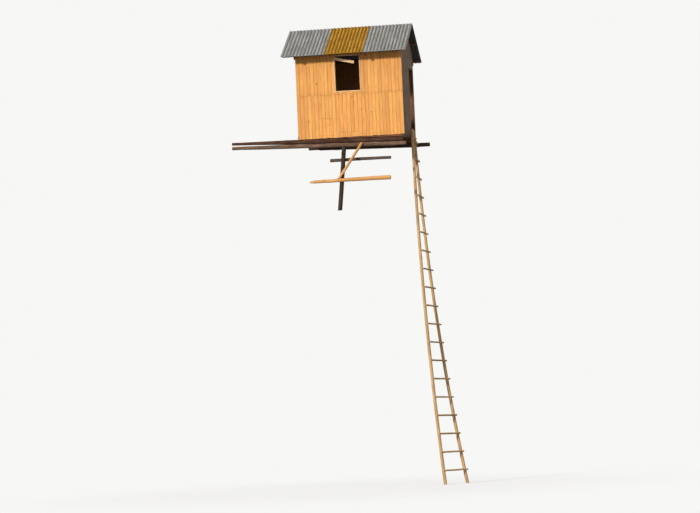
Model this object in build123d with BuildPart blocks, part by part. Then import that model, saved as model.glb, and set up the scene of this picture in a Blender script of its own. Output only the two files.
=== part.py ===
from build123d import *
import math
import os

# Tree house: a small board hut under a gabled roof of corrugated sheets, on a
# platform of round poles that is carried in a tree, with a pole ladder beside it.
# The origin is the middle of the front post's flat foot. X runs along the front
# wall to the right, Y to the back and Z up. All sizes are in millimetres.

# Clearance between round pieces that rest on each other
seat_gap = 0.3

# Hut
hut_width = 2320
hut_depth = 1800
hut_x = 325
frame_z = 1575
plate_height = 1880
board_thickness = 20

# Floor
joist_radius = 35
joist_count = 5
joist_overhang = 20
floor_thickness = 25

# Wall frame
stud_size = 60
girt_height = 900
girt_depth = 40
girt_drop = 60
wall_top_gap = 2

# Window in the front wall
window_offset = -30
window_width = 570
window_height = 800
window_sill = 980
lining_thickness = 18
lining_reach = 6
batten_length = 455
batten_width = 60
batten_thickness = 16
batten_offset = -61
batten_rise = 677
batten_tilt = 13

# Doorway in the right wall
doorway_from_back = 80
doorway_width = 600
doorway_height = 1450

# Roof frame
roof_pitch = 29.5
rafter_depth = 60
rafter_width = 45
rafter_pairs = 4
rafter_seat = 20
eave_reach = 320
ridge_beam_thickness = 30
ridge_beam_depth = 120
purlin_width = 50
purlin_depth = 35
purlin_rows = 3
purlin_inset = 50

# Corrugated sheets
wave_pitch = 76
wave_depth = 17
sheet_thickness = 1.0
outer_sheet_waves = 13
side_lap_waves = 0.5
points_per_wave = 8
left_verge = 260
right_verge = 156
sheet_eave_reach = 350
ridge_overrun = 35
ridge_gap = 2

# Bearers: two stacked poles under the front and one under the back. The reaches are
# how far they stand out past the hut's sides.
bearer_slope = 1.4
upper_radius = 48
lower_radius = 46
front_left_reach = 1475
front_right_reach = 15
rear_left_reach = 85
rear_right_reach = 310
upper_right_inset = 60
limb_seat_length = 220
limb_seat_cut = 12
packer_width = 90
packer_length = 1280

# Post, brace and cross poles
post_radius = 48
post_lean = 150
post_cope_drop = 20
cross_height = 643
cross_left_x = -620
cross_right_x = 1150
cross_radius = 42
brace_radius = 30
brace_foot_x = 25
brace_head_x = 556
back_cross_height = 1090
back_cross_left_x = -180
back_cross_right_x = 1150
back_cross_radius = 35

# Ladder
ground_z = -6000
rail_radius = 33
rung_radius = 19
rung_pitch = 400
first_rung = 366
rung_overhang = 45
ladder_from_front = 1000
ladder_top_width = 340
ladder_foot_width = 650
ladder_foot_turn = 41
ladder_lean = 610
rail_top_reach = 130
near_rail_top_lean = 0.5
far_rail_top_lean = 2.5

# Places that follow from the sizes above
left_x = hut_x - hut_width / 2
right_x = hut_x + hut_width / 2
front_y = -upper_radius
back_y = front_y + hut_depth
ridge_y = (front_y + back_y) / 2
rear_bearer_y = back_y - upper_radius
plate_top = frame_z + plate_height
joist_z = frame_z + joist_radius
joist_top = frame_z + 2 * joist_radius + seat_gap
floor_top = joist_top + floor_thickness
left_joist_x = left_x - joist_overhang + joist_radius
right_joist_x = right_x + joist_overhang - joist_radius
joist_xs = [
    left_joist_x + i * (right_joist_x - left_joist_x) / (joist_count - 1)
    for i in range(joist_count)
]
inner_left = left_x + board_thickness
inner_right = right_x - board_thickness
inner_front = front_y + board_thickness
inner_back = back_y - board_thickness
slope_tan = math.tan(math.radians(bearer_slope))
slope_cos = math.cos(math.radians(bearer_slope))
pitch_tan = math.tan(math.radians(roof_pitch))
pitch_cos = math.cos(math.radians(roof_pitch))


# Height of the rafters' underside over a point of the front slope
def rafter_under(y):
    return plate_top - rafter_seat + (y - inner_front) * pitch_tan


# Height of the rafters' top, where the purlins lie
def rafter_top(y):
    return rafter_under(y) + rafter_depth / pitch_cos


roof_peak = rafter_top(ridge_y) + purlin_depth / pitch_cos
roof_waves = round((left_verge + hut_width + right_verge) / wave_pitch)
middle_sheet_waves = roof_waves + 2 * side_lap_waves - 2 * outer_sheet_waves
roof_length = roof_waves * wave_pitch
roof_left = left_x - left_verge
roof_right = roof_left + roof_length
ridge_plane = Plane.XZ.offset(-ridge_y)


# Axis heights of the stacked bearers over a point along the hut
def upper_axis_z(x):
    left_seat = joist_z - (joist_radius + upper_radius + seat_gap) / slope_cos
    return left_seat - (x - left_joist_x) * slope_tan


def lower_axis_z(x):
    return upper_axis_z(x) - (upper_radius + lower_radius + seat_gap) / slope_cos


# Round pole between two points, added to the part that is being built
def pole(start, end, radius, mode=Mode.ADD):
    run = Vector(*end) - Vector(*start)
    place = Plane(origin=start, z_dir=run)
    upright = (Align.CENTER, Align.CENTER, Align.MIN)
    with Locations(place.location):
        Cylinder(radius, run.length, align=upright, mode=mode)


# Box between two corners, added to the part that is being built
def block(low, high, mode=Mode.ADD):
    size = Vector(*high) - Vector(*low)
    corner = (Align.MIN, Align.MIN, Align.MIN)
    with Locations(low):
        Box(size.X, size.Y, size.Z, align=corner, mode=mode)


def save(builder, name):
    builder.part.label = name
    export_step(builder.part, f"parts/{name}.step")


os.makedirs("parts", exist_ok=True)


# Round bearer along the hut. A seated one has a flat under each end, where it lies
# on a limb.
def bearer(name, y, left_end, right_end, radius, axis_z, seated):
    half_seat = limb_seat_length / 2
    with BuildPart() as beam:
        pole(
            (left_end, y, axis_z(left_end)),
            (right_end, y, axis_z(right_end)),
            radius,
        )
        if seated:
            for middle_x in (left_end + half_seat, right_end - half_seat):
                flat_z = axis_z(middle_x) - radius + limb_seat_cut
                with Locations((middle_x, y, flat_z)):
                    Box(
                        limb_seat_length,
                        2 * radius,
                        radius,
                        align=(Align.CENTER, Align.CENTER, Align.MAX),
                        mode=Mode.SUBTRACT,
                    )
    save(beam, name)


front_left = left_x - front_left_reach
lower_right = right_x + front_right_reach
upper_right = right_x - upper_right_inset
rear_left = left_x - rear_left_reach
rear_right = right_x + rear_right_reach
bearer("front_bearer_lower", 0, front_left, lower_right, lower_radius, lower_axis_z, True)
bearer("front_bearer_upper", 0, front_left, upper_right, upper_radius, upper_axis_z, False)
bearer(
    "rear_bearer_upper", rear_bearer_y, rear_left, rear_right, upper_radius, upper_axis_z, True
)

# Wedges that level the floor frame over the sloping bearers
with BuildPart() as packers:
    packer_left = upper_right - packer_length
    packer_lift = (upper_radius + seat_gap) / slope_cos
    for y in (0, rear_bearer_y):
        with BuildSketch(Plane.XZ.offset(-y)) as wedge:
            with BuildLine():
                Polyline(
                    (packer_left, upper_axis_z(packer_left) + packer_lift),
                    (upper_right, upper_axis_z(upper_right) + packer_lift),
                    (upper_right, frame_z - seat_gap),
                    (packer_left, frame_z - seat_gap),
                    close=True,
                )
            make_face()
        extrude(amount=packer_width / 2, both=True)
save(packers, "packers")

# Joists and floor
with BuildPart() as joists:
    for x in joist_xs:
        pole((x, inner_front, joist_z), (x, inner_back, joist_z), joist_radius)
save(joists, "joists")

with BuildPart() as floor_boards:
    block((inner_left, inner_front, joist_top), (inner_right, inner_back, floor_top))
save(floor_boards, "floor_boards")

# Wall frame
with BuildPart() as corner_posts:
    for x in (inner_left, inner_right - stud_size):
        for y in (inner_front, inner_back - stud_size):
            block(
                (x, y, floor_top),
                (x + stud_size, y + stud_size, plate_top - stud_size),
            )
save(corner_posts, "corner_posts")


def plate(name, y):
    with BuildPart() as wall_plate:
        block(
            (inner_left, y, plate_top - stud_size),
            (inner_right, y + stud_size, plate_top),
        )
    save(wall_plate, name)


plate("front_plate", inner_front)
plate("rear_plate", inner_back - stud_size)

with BuildPart() as tie_beams:
    for x in (inner_left, inner_right - stud_size):
        block(
            (x, inner_front + stud_size, plate_top - stud_size),
            (x + stud_size, inner_back - stud_size, plate_top),
        )
save(tie_beams, "tie_beams")

girt_z = frame_z + girt_height
doorway_back = inner_back - doorway_from_back
doorway_front = doorway_back - doorway_width
doorway_top = floor_top + doorway_height

with BuildPart() as girts:
    for y in (inner_front, inner_back - girt_depth):
        block(
            (inner_left + stud_size, y, girt_z),
            (inner_right - stud_size, y + girt_depth, girt_z + girt_drop),
        )
    block(
        (inner_left, inner_front + stud_size, girt_z),
        (inner_left + girt_depth, inner_back - stud_size, girt_z + girt_drop),
    )
    block(
        (inner_right - girt_depth, inner_front + stud_size, girt_z),
        (inner_right, doorway_front - girt_depth, girt_z + girt_drop),
    )
save(girts, "girts")

window_x = hut_x + window_offset
window_left = window_x - window_width / 2
window_right = window_left + window_width
window_bottom = frame_z + window_sill
window_top = window_bottom + window_height

with BuildPart() as window_studs:
    for x in (window_left - girt_depth, window_right):
        block(
            (x, inner_front, girt_z + girt_drop),
            (x + girt_depth, inner_front + stud_size, plate_top - stud_size),
        )
save(window_studs, "window_studs")

with BuildPart() as door_studs:
    block(
        (inner_right - stud_size, doorway_front - girt_depth, floor_top),
        (inner_right, doorway_front, plate_top - stud_size),
    )
    block(
        (inner_right - stud_size, doorway_front + seat_gap, doorway_top),
        (inner_right, inner_back - stud_size, doorway_top + girt_drop),
    )
save(door_studs, "door_studs")

# Board walls. The front and back ones stop just under the rafters.
wall_top = rafter_under(front_y) - wall_top_gap
with BuildPart() as front_wall:
    block((left_x, front_y, frame_z), (right_x, inner_front, wall_top))
    block(
        (window_left, front_y, window_bottom),
        (window_right, inner_front, window_top),
        mode=Mode.SUBTRACT,
    )
save(front_wall, "front_wall")

with BuildPart() as back_wall:
    block((left_x, inner_back, frame_z), (right_x, back_y, wall_top))
save(back_wall, "back_wall")


# Outline of a gable wall up to the purlins, as points along Y and Z
gable_eave_z = rafter_top(inner_front) - seat_gap
gable_peak_z = rafter_top(ridge_y) - seat_gap
gable_points = [
    (inner_front, joist_top),
    (inner_back, joist_top),
    (inner_back, gable_eave_z),
    (ridge_y, gable_peak_z),
    (inner_front, gable_eave_z),
]

with BuildPart() as left_wall:
    with BuildSketch(Plane.YZ.offset(left_x)):
        with BuildLine():
            Polyline(*gable_points, close=True)
        make_face()
    extrude(amount=board_thickness)
save(left_wall, "left_wall")


# Part of the right wall between two corners given along Y and Z
def right_wall_piece(name, low, high):
    with BuildPart() as piece:
        with BuildSketch(Plane.YZ.offset(inner_right)):
            with BuildLine():
                Polyline(*gable_points, close=True)
            make_face()
            with Locations(low):
                Rectangle(
                    high[0] - low[0],
                    high[1] - low[1],
                    align=(Align.MIN, Align.MIN),
                    mode=Mode.INTERSECT,
                )
        extrude(amount=board_thickness)
    save(piece, name)


right_wall_piece("right_wall", (inner_front, joist_top), (doorway_front, gable_peak_z))
right_wall_piece(
    "right_wall_over_door", (doorway_front, doorway_top), (doorway_back, gable_peak_z)
)
right_wall_piece("right_wall_corner", (doorway_back, joist_top), (inner_back, gable_peak_z))

# Window lining and the loose batten that hangs from its left side
with BuildPart() as window_lining:
    lining_front = front_y - lining_reach
    lining_back = inner_front + stud_size
    block(
        (window_left, lining_front, window_bottom),
        (window_right, lining_back, window_top),
    )
    block(
        (window_left + lining_thickness, lining_front, window_bottom + lining_thickness),
        (window_right - lining_thickness, lining_back, window_top - lining_thickness),
        mode=Mode.SUBTRACT,
    )
save(window_lining, "window_lining")

with BuildPart() as window_batten:
    batten_z = window_bottom + batten_rise
    with BuildSketch(Plane.XZ.offset(-front_y + lining_reach)):
        with Locations((window_x + batten_offset, batten_z)):
            Rectangle(batten_length, batten_width, rotation=-batten_tilt)
    extrude(amount=batten_thickness)
save(window_batten, "window_batten")

# Roof frame
with BuildPart() as ridge_beam:
    beam_top = rafter_top(ridge_y - ridge_beam_thickness / 2)
    block(
        (inner_left, ridge_y - ridge_beam_thickness / 2, beam_top - ridge_beam_depth),
        (inner_right, ridge_y + ridge_beam_thickness / 2, beam_top),
    )
save(ridge_beam, "ridge_beam")


def rafters(name, rear):
    eave_y = front_y - eave_reach
    head_y = ridge_y - ridge_beam_thickness / 2
    first = inner_left
    step = (inner_right - rafter_width - inner_left) / (rafter_pairs - 1)
    with BuildPart() as row:
        for i in range(rafter_pairs):
            with BuildSketch(Plane.YZ.offset(first + i * step)):
                with BuildLine():
                    Polyline(
                        (eave_y, rafter_under(eave_y)),
                        (head_y, rafter_under(head_y)),
                        (head_y, rafter_top(head_y)),
                        (eave_y, rafter_top(eave_y)),
                        close=True,
                    )
                make_face()
            extrude(amount=rafter_width)
        block(
            (inner_left, inner_front, plate_top - stud_size),
            (inner_right, inner_front + stud_size, plate_top),
            mode=Mode.SUBTRACT,
        )
        if rear:
            mirror(about=ridge_plane, mode=Mode.REPLACE)
    save(row, name)


rafters("front_rafters", rear=False)
rafters("rear_rafters", rear=True)


# Plane at the ridge end of a slope: x along the eave, y out of the roof, z down the slope
def slope_plane(rear):
    side = 1 if rear else -1
    run = math.cos(math.radians(roof_pitch))
    fall = math.sin(math.radians(roof_pitch))
    start_x = roof_right if rear else roof_left
    return Plane(
        origin=(start_x, ridge_y, roof_peak),
        x_dir=(-side, 0, 0),
        z_dir=(0, side * run, -fall),
    )


slope_length = (hut_depth / 2 + sheet_eave_reach) / pitch_cos


def purlins(name, rear):
    last = (hut_depth / 2 + eave_reach) / pitch_cos - purlin_inset
    first = purlin_inset
    step = (last - first) / (purlin_rows - 1)
    plane = slope_plane(rear)
    with BuildPart() as row:
        for i in range(purlin_rows):
            with BuildSketch(plane.offset(first + i * step)):
                with Locations((roof_length / 2, -purlin_depth / 2)):
                    Rectangle(roof_length - 2 * purlin_inset, purlin_depth)
            extrude(amount=purlin_width / 2, both=True)
    save(row, name)


purlins("front_purlins", rear=False)
purlins("rear_purlins", rear=True)


# Points of one surface line of a corrugated sheet, a sine wave over the purlins
def wave_points(first_wave, waves, level):
    middle = level + wave_depth / 2
    count = round(waves * points_per_wave)
    points = []
    for i in range(count + 1):
        wave = first_wave + i / points_per_wave
        rise = math.sin(wave * math.tau) * wave_depth / 2
        points.append((wave * wave_pitch, middle + rise))
    return points


# The front sheets run past the ridge over the rear ones, which start just below them
def sheet(name, rear, first_wave, waves, lift):
    turn = math.radians(2 * roof_pitch)
    rear_start = (wave_depth + sheet_thickness + seat_gap) / math.tan(turn) + ridge_gap
    start = rear_start if rear else -ridge_overrun
    under = wave_points(first_wave, waves, lift)
    over = wave_points(first_wave, waves, lift + sheet_thickness)
    with BuildPart() as panel:
        with BuildSketch(slope_plane(rear).offset(start)):
            with BuildLine():
                Polyline(*under, *reversed(over), close=True)
            make_face()
        extrude(amount=slope_length - start)
    save(panel, name)


middle_first = outer_sheet_waves - side_lap_waves
last_first = middle_first + middle_sheet_waves - side_lap_waves
over_lift = sheet_thickness + 2 * seat_gap
for side_name, rear in (("front", False), ("rear", True)):
    sheet(f"{side_name}_sheet_left", rear, 0, outer_sheet_waves, seat_gap)
    sheet(f"{side_name}_sheet_middle", rear, middle_first, middle_sheet_waves, over_lift)
    sheet(f"{side_name}_sheet_right", rear, last_first, outer_sheet_waves, seat_gap)

# Post under the front bearers, coped to the lower one
post_top = lower_axis_z(post_lean) - post_cope_drop


# How far the leaning post's axis stands from the origin at a height
def post_x(z):
    return post_lean * z / post_top


with BuildPart() as front_post:
    below = -2 * post_radius
    pole((post_x(below), 0, below), (post_lean, 0, post_top), post_radius)
    split(bisect_by=Plane.XY, keep=Keep.TOP)
    pole(
        (front_left, 0, lower_axis_z(front_left)),
        (lower_right, 0, lower_axis_z(lower_right)),
        lower_radius + seat_gap,
        mode=Mode.SUBTRACT,
    )
save(front_post, "front_post")

# Cross poles in front of the post and behind it, laid across the crotch
cross_y = -(post_radius + cross_radius + seat_gap)
with BuildPart() as front_cross_pole:
    pole(
        (cross_left_x, cross_y, cross_height),
        (cross_right_x, cross_y, cross_height),
        cross_radius,
    )
save(front_cross_pole, "front_cross_pole")

back_cross_y = post_radius + back_cross_radius + seat_gap
with BuildPart() as back_cross_pole:
    pole(
        (back_cross_left_x, back_cross_y, back_cross_height),
        (back_cross_right_x, back_cross_y, back_cross_height),
        back_cross_radius,
    )
save(back_cross_pole, "back_cross_pole")

# Brace from the cross pole's top, past the post, to the front of the lower bearer
with BuildPart() as brace:
    foot_z = cross_height + cross_radius + seat_gap
    head_z = lower_axis_z(brace_head_x) + brace_radius
    span_x = brace_head_x - brace_foot_x
    span_z = head_z - foot_z
    crossing = (post_x(foot_z) - brace_foot_x) / (span_x - post_lean * span_z / post_top)
    post_face = -(post_radius + brace_radius + seat_gap)
    head_y = -(lower_radius + brace_radius + seat_gap)
    foot_y = (post_face - crossing * head_y) / (1 - crossing)
    run = Vector(span_x, head_y - foot_y, span_z)
    start = Vector(brace_foot_x, foot_y, foot_z) - run.normalized() * 2 * brace_radius
    pole(tuple(start), (brace_head_x, head_y, head_z), brace_radius)
    split(bisect_by=Plane.XY.offset(foot_z), keep=Keep.TOP)
save(brace, "brace")

# Ladder rails: each leans on the right joist and bows down to its foot, which is cut
# flat at the ground
ladder_y = front_y + ladder_from_front
foot_turn = math.radians(ladder_foot_turn)
foot_spread = Vector(math.sin(foot_turn), math.cos(foot_turn)) * (ladder_foot_width / 2)
rail_touch = joist_radius + rail_radius + seat_gap


# Top, touching point and bow of a rail. The bow sets out along the top's lean and ends
# below the ground, so that the cut takes the whole foot.
def rail_axis(side, top_lean):
    lean = math.radians(top_lean)
    down = Vector(math.sin(lean), 0, -math.cos(lean))
    out = Vector(math.cos(lean), 0, math.sin(lean))
    y = ladder_y + side * ladder_top_width / 2
    contact = Vector(right_joist_x, y, joist_z) + out * rail_touch
    foot_z = ground_z - 2 * rail_radius
    foot_middle = Vector(right_joist_x + rail_touch + ladder_lean, ladder_y, foot_z)
    foot = foot_middle + foot_spread * side
    chord = foot - contact
    half_turn = math.radians(down.get_angle(chord))
    sideways = down - chord.normalized() * math.cos(half_turn)
    sag = math.tan(half_turn / 2) * chord.length / 2
    middle = contact + chord / 2 + sideways.normalized() * sag
    with BuildLine():
        bow = ThreePointArc(contact, middle, foot)
    return contact - down * rail_top_reach, contact, bow


def ladder_rail(name, top, contact, bow):
    with BuildPart() as rail:
        with BuildSketch(Plane(origin=contact, z_dir=bow % 0)):
            Circle(rail_radius)
        sweep(path=bow)
        pole(tuple(top), tuple(contact), rail_radius)
        split(bisect_by=Plane.XY.offset(ground_z), keep=Keep.TOP)
    save(rail, name)


near_top, near_contact, near_bow = rail_axis(-1, near_rail_top_lean)
far_top, far_contact, far_bow = rail_axis(1, far_rail_top_lean)
ladder_rail("ladder_rail_near", near_top, near_contact, near_bow)
ladder_rail("ladder_rail_far", far_top, far_contact, far_bow)

# Rungs across the outer side of the rails, tangent to both, from the foot up to the joist
with BuildPart() as ladder_rungs:
    reach = rail_radius + rung_radius + seat_gap
    rung_count = math.floor((near_bow.length - first_rung) / rung_pitch) + 1
    for i in range(rung_count):
        height = first_rung + i * rung_pitch
        near_share = 1 - height / near_bow.length
        far_share = 1 - height / far_bow.length
        near_point = near_bow @ near_share
        far_point = far_bow @ far_share
        across = (far_point - near_point).normalized()
        near_out = across.cross(near_bow % near_share).normalized() * -reach
        far_out = across.cross(far_bow % far_share).normalized() * -reach
        start = near_point + near_out - across * rung_overhang
        end = far_point + far_out + across * rung_overhang
        pole(tuple(start), tuple(end), rung_radius)
save(ladder_rungs, "ladder_rungs")
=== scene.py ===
"""Looks of a small board hut on a pole platform, with a corrugated roof and a pole ladder.

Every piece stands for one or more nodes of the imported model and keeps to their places.
Lengths are in metres unless a name ends in mm. X runs along the front wall to the right,
Y to the back and Z up.
"""
import logging
import math
import random
from collections.abc import Callable
from dataclasses import dataclass, field
from enum import Enum
from functools import cache, partial

import bpy
from mathutils import Matrix, Vector, noise


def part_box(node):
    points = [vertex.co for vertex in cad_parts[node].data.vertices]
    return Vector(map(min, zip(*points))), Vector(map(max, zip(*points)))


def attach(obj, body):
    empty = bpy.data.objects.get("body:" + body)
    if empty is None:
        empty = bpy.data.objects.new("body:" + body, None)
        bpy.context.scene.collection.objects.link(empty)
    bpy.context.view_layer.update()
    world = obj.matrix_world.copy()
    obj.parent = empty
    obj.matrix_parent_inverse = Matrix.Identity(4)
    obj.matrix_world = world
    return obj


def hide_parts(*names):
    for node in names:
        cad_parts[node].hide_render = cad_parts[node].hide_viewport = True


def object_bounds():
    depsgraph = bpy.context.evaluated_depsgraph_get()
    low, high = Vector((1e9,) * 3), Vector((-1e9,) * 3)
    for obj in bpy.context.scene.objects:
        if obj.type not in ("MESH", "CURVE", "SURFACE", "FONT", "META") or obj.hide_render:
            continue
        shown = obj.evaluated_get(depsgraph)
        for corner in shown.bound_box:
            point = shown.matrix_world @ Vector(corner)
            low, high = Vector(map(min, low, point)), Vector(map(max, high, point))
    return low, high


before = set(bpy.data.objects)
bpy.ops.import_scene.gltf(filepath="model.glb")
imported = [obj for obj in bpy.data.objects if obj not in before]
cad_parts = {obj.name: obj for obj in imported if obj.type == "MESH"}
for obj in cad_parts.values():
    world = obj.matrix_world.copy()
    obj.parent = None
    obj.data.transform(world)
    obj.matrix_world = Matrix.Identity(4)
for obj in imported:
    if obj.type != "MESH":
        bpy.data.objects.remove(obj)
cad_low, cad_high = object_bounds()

log = logging.getLogger("tree_house")

Tree = bpy.types.NodeTree
Socket = bpy.types.NodeSocket
# A point or a size by the share of a length or width
Line = Callable[[float], Vector]
Measure = Callable[[float], float]

BODY = "root"
X_AXIS, Y_AXIS, Z_AXIS = Vector((1, 0, 0)), Vector((0, 1, 0)), Vector((0, 0, 1))
MM = 0.001
# A grain offset this long never repeats a pattern on the next board
GRAIN_SHIFT = 40.0
# Rain darkens boards this far in from their edges and ends
EDGE_WEAR = 0.011
# Left between pieces that rest on each other
SEAT_GAP = 0.0003
# Odd factors that draw a second and a third random share out of a board's tone
TINT_SHUFFLE, GAPE_SHUFFLE = 7.31, 13.7
# A knot's stub on a pole: its reach along the pole, its turn round it and its swell
STUB_REACH, STUB_TURN, STUB_SWELL = 0.03, 0.45, 0.16
# A pole's end ring has this share of the radius and stands this far from the next ring
END_SHRINK, END_RING = 0.93, 0.006
# How far the middle of a nail head stands out from its board
HEAD_PROUD = 0.0008
# Share of a roof wave from its start to its crest
CREST = 0.25
ROOF_PITCH = math.radians(29.5)
# Height of the ladder's foot and of the studio floor
FOOT_Z = -6.0


class Slope(Enum):
    """Side of the ridge, with the sign of Y down the slope."""

    FRONT = -1
    REAR = 1


@dataclass(frozen=True)
class Recipe:
    """A node type with its settings, its inputs in the order of use, and its output."""

    kind: str
    settings: dict[str, object] = field(default_factory=dict)
    inputs: tuple[int | str, ...] = tuple(range(9))
    output: int | str = 0


class Node(Enum):
    """Nodes that finishes and pieces use again and again."""

    ADD = Recipe("ShaderNodeMath", {"operation": "ADD"})
    SUBTRACT = Recipe("ShaderNodeMath", {"operation": "SUBTRACT"})
    MULTIPLY = Recipe("ShaderNodeMath", {"operation": "MULTIPLY"})
    MULTIPLY_ADD = Recipe("ShaderNodeMath", {"operation": "MULTIPLY_ADD"})
    MAXIMUM = Recipe("ShaderNodeMath", {"operation": "MAXIMUM"})
    FRACT = Recipe("ShaderNodeMath", {"operation": "FRACT"})
    PINGPONG = Recipe("ShaderNodeMath", {"operation": "PINGPONG"})
    STRETCH = Recipe("ShaderNodeVectorMath", {"operation": "MULTIPLY"})
    LENGTH = Recipe("ShaderNodeVectorMath", {"operation": "LENGTH"}, output="Value")
    SMOOTH = Recipe("ShaderNodeMapRange", {"interpolation_type": "SMOOTHSTEP"})
    MIX = Recipe("ShaderNodeMix", {"data_type": "RGBA"}, (0, 6, 7), 2)
    NOISE = Recipe("ShaderNodeTexNoise", {}, ("Vector", "Scale", "Detail", "Distortion"))
    CELLS = Recipe("ShaderNodeTexVoronoi", {}, ("Vector", "Scale"), "Distance")
    CRACKS = Recipe(
        "ShaderNodeTexVoronoi", {"feature": "DISTANCE_TO_EDGE"}, ("Vector", "Scale"), "Distance"
    )
    BUMP = Recipe("ShaderNodeBump", {}, ("Height", "Strength", "Distance"))
    SURFACE = Recipe(
        "ShaderNodeBsdfPrincipled", {},
        ("Base Color", "Roughness", "Normal", "Specular IOR Level", "Metallic"),
    )


def colour(code: str) -> tuple[float, float, float, float]:
    """Turns an sRGB hex value to a linear colour.

    Args:
        code: Six hex digits.

    Returns:
        Red, green and blue in linear light, and an alpha of one.
    """
    parts = [int(code[i:i + 2], 16) / 255 for i in (0, 2, 4)]
    red, green, blue = (c / 12.92 if c <= 0.04045 else ((c + 0.055) / 1.055) ** 2.4 for c in parts)
    return red, green, blue, 1.0


def add_node(
    tree: Tree,
    node: Node | str,
    *values: object,
    out: int | str | None = None,
    fill: dict[str, object] | None = None,
    **settings: object,
) -> Socket | None:
    """Adds one node with its settings and links.

    Args:
        tree: Shader or geometry tree that gets the node.
        node: A common node, or Blender's name of a type.
        values: Sockets to link, or values to set, for its inputs in turn.
        out: Output to give back, if not the usual one.
        fill: The same as values for inputs by name.
        settings: Further property values of the node.

    Returns:
        The output's socket, or None where the node has none.
    """
    recipe = Recipe(node) if isinstance(node, str) else node.value
    made = tree.nodes.new(recipe.kind)
    for name, value in {**recipe.settings, **settings}.items():
        setattr(made, name, value)
    for key, value in [*zip(recipe.inputs, values), *(fill or {}).items()]:
        if isinstance(value, Socket):
            tree.links.new(value, made.inputs[key])
        else:
            made.inputs[key].default_value = value
    return made.outputs[recipe.output if out is None else out] if made.outputs else None


def pattern(
    add: Callable[..., Socket],
    node: Node,
    place: Socket,
    sizes_mm: tuple[float, float, float],
    *values: float,
    out: str | None = None,
) -> Socket:
    """Adds a pattern whose repeat has a real size.

    Args:
        add: Adds a node to the tree.
        node: The pattern.
        place: Coordinates in metres.
        sizes_mm: Size of a repeat along each axis, in millimetres.
        values: The pattern's further inputs, such as its detail and distortion.
        out: Output to give back, if not the usual one.

    Returns:
        The pattern's socket.
    """
    near = add(Node.STRETCH, place, [1 / (size * MM) for size in sizes_mm])
    return add(node, near, 1.0, *values, out=out)


def blank_material(name: str) -> tuple[bpy.types.Material, Callable[..., Socket]]:
    """Makes a material with an empty node tree.

    Args:
        name: The finish's name.

    Returns:
        The material, and a function that adds a node to it.
    """
    material = bpy.data.materials.new(name)
    material.use_nodes = True
    material.node_tree.nodes.clear()
    return material, partial(add_node, material.node_tree)


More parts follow.
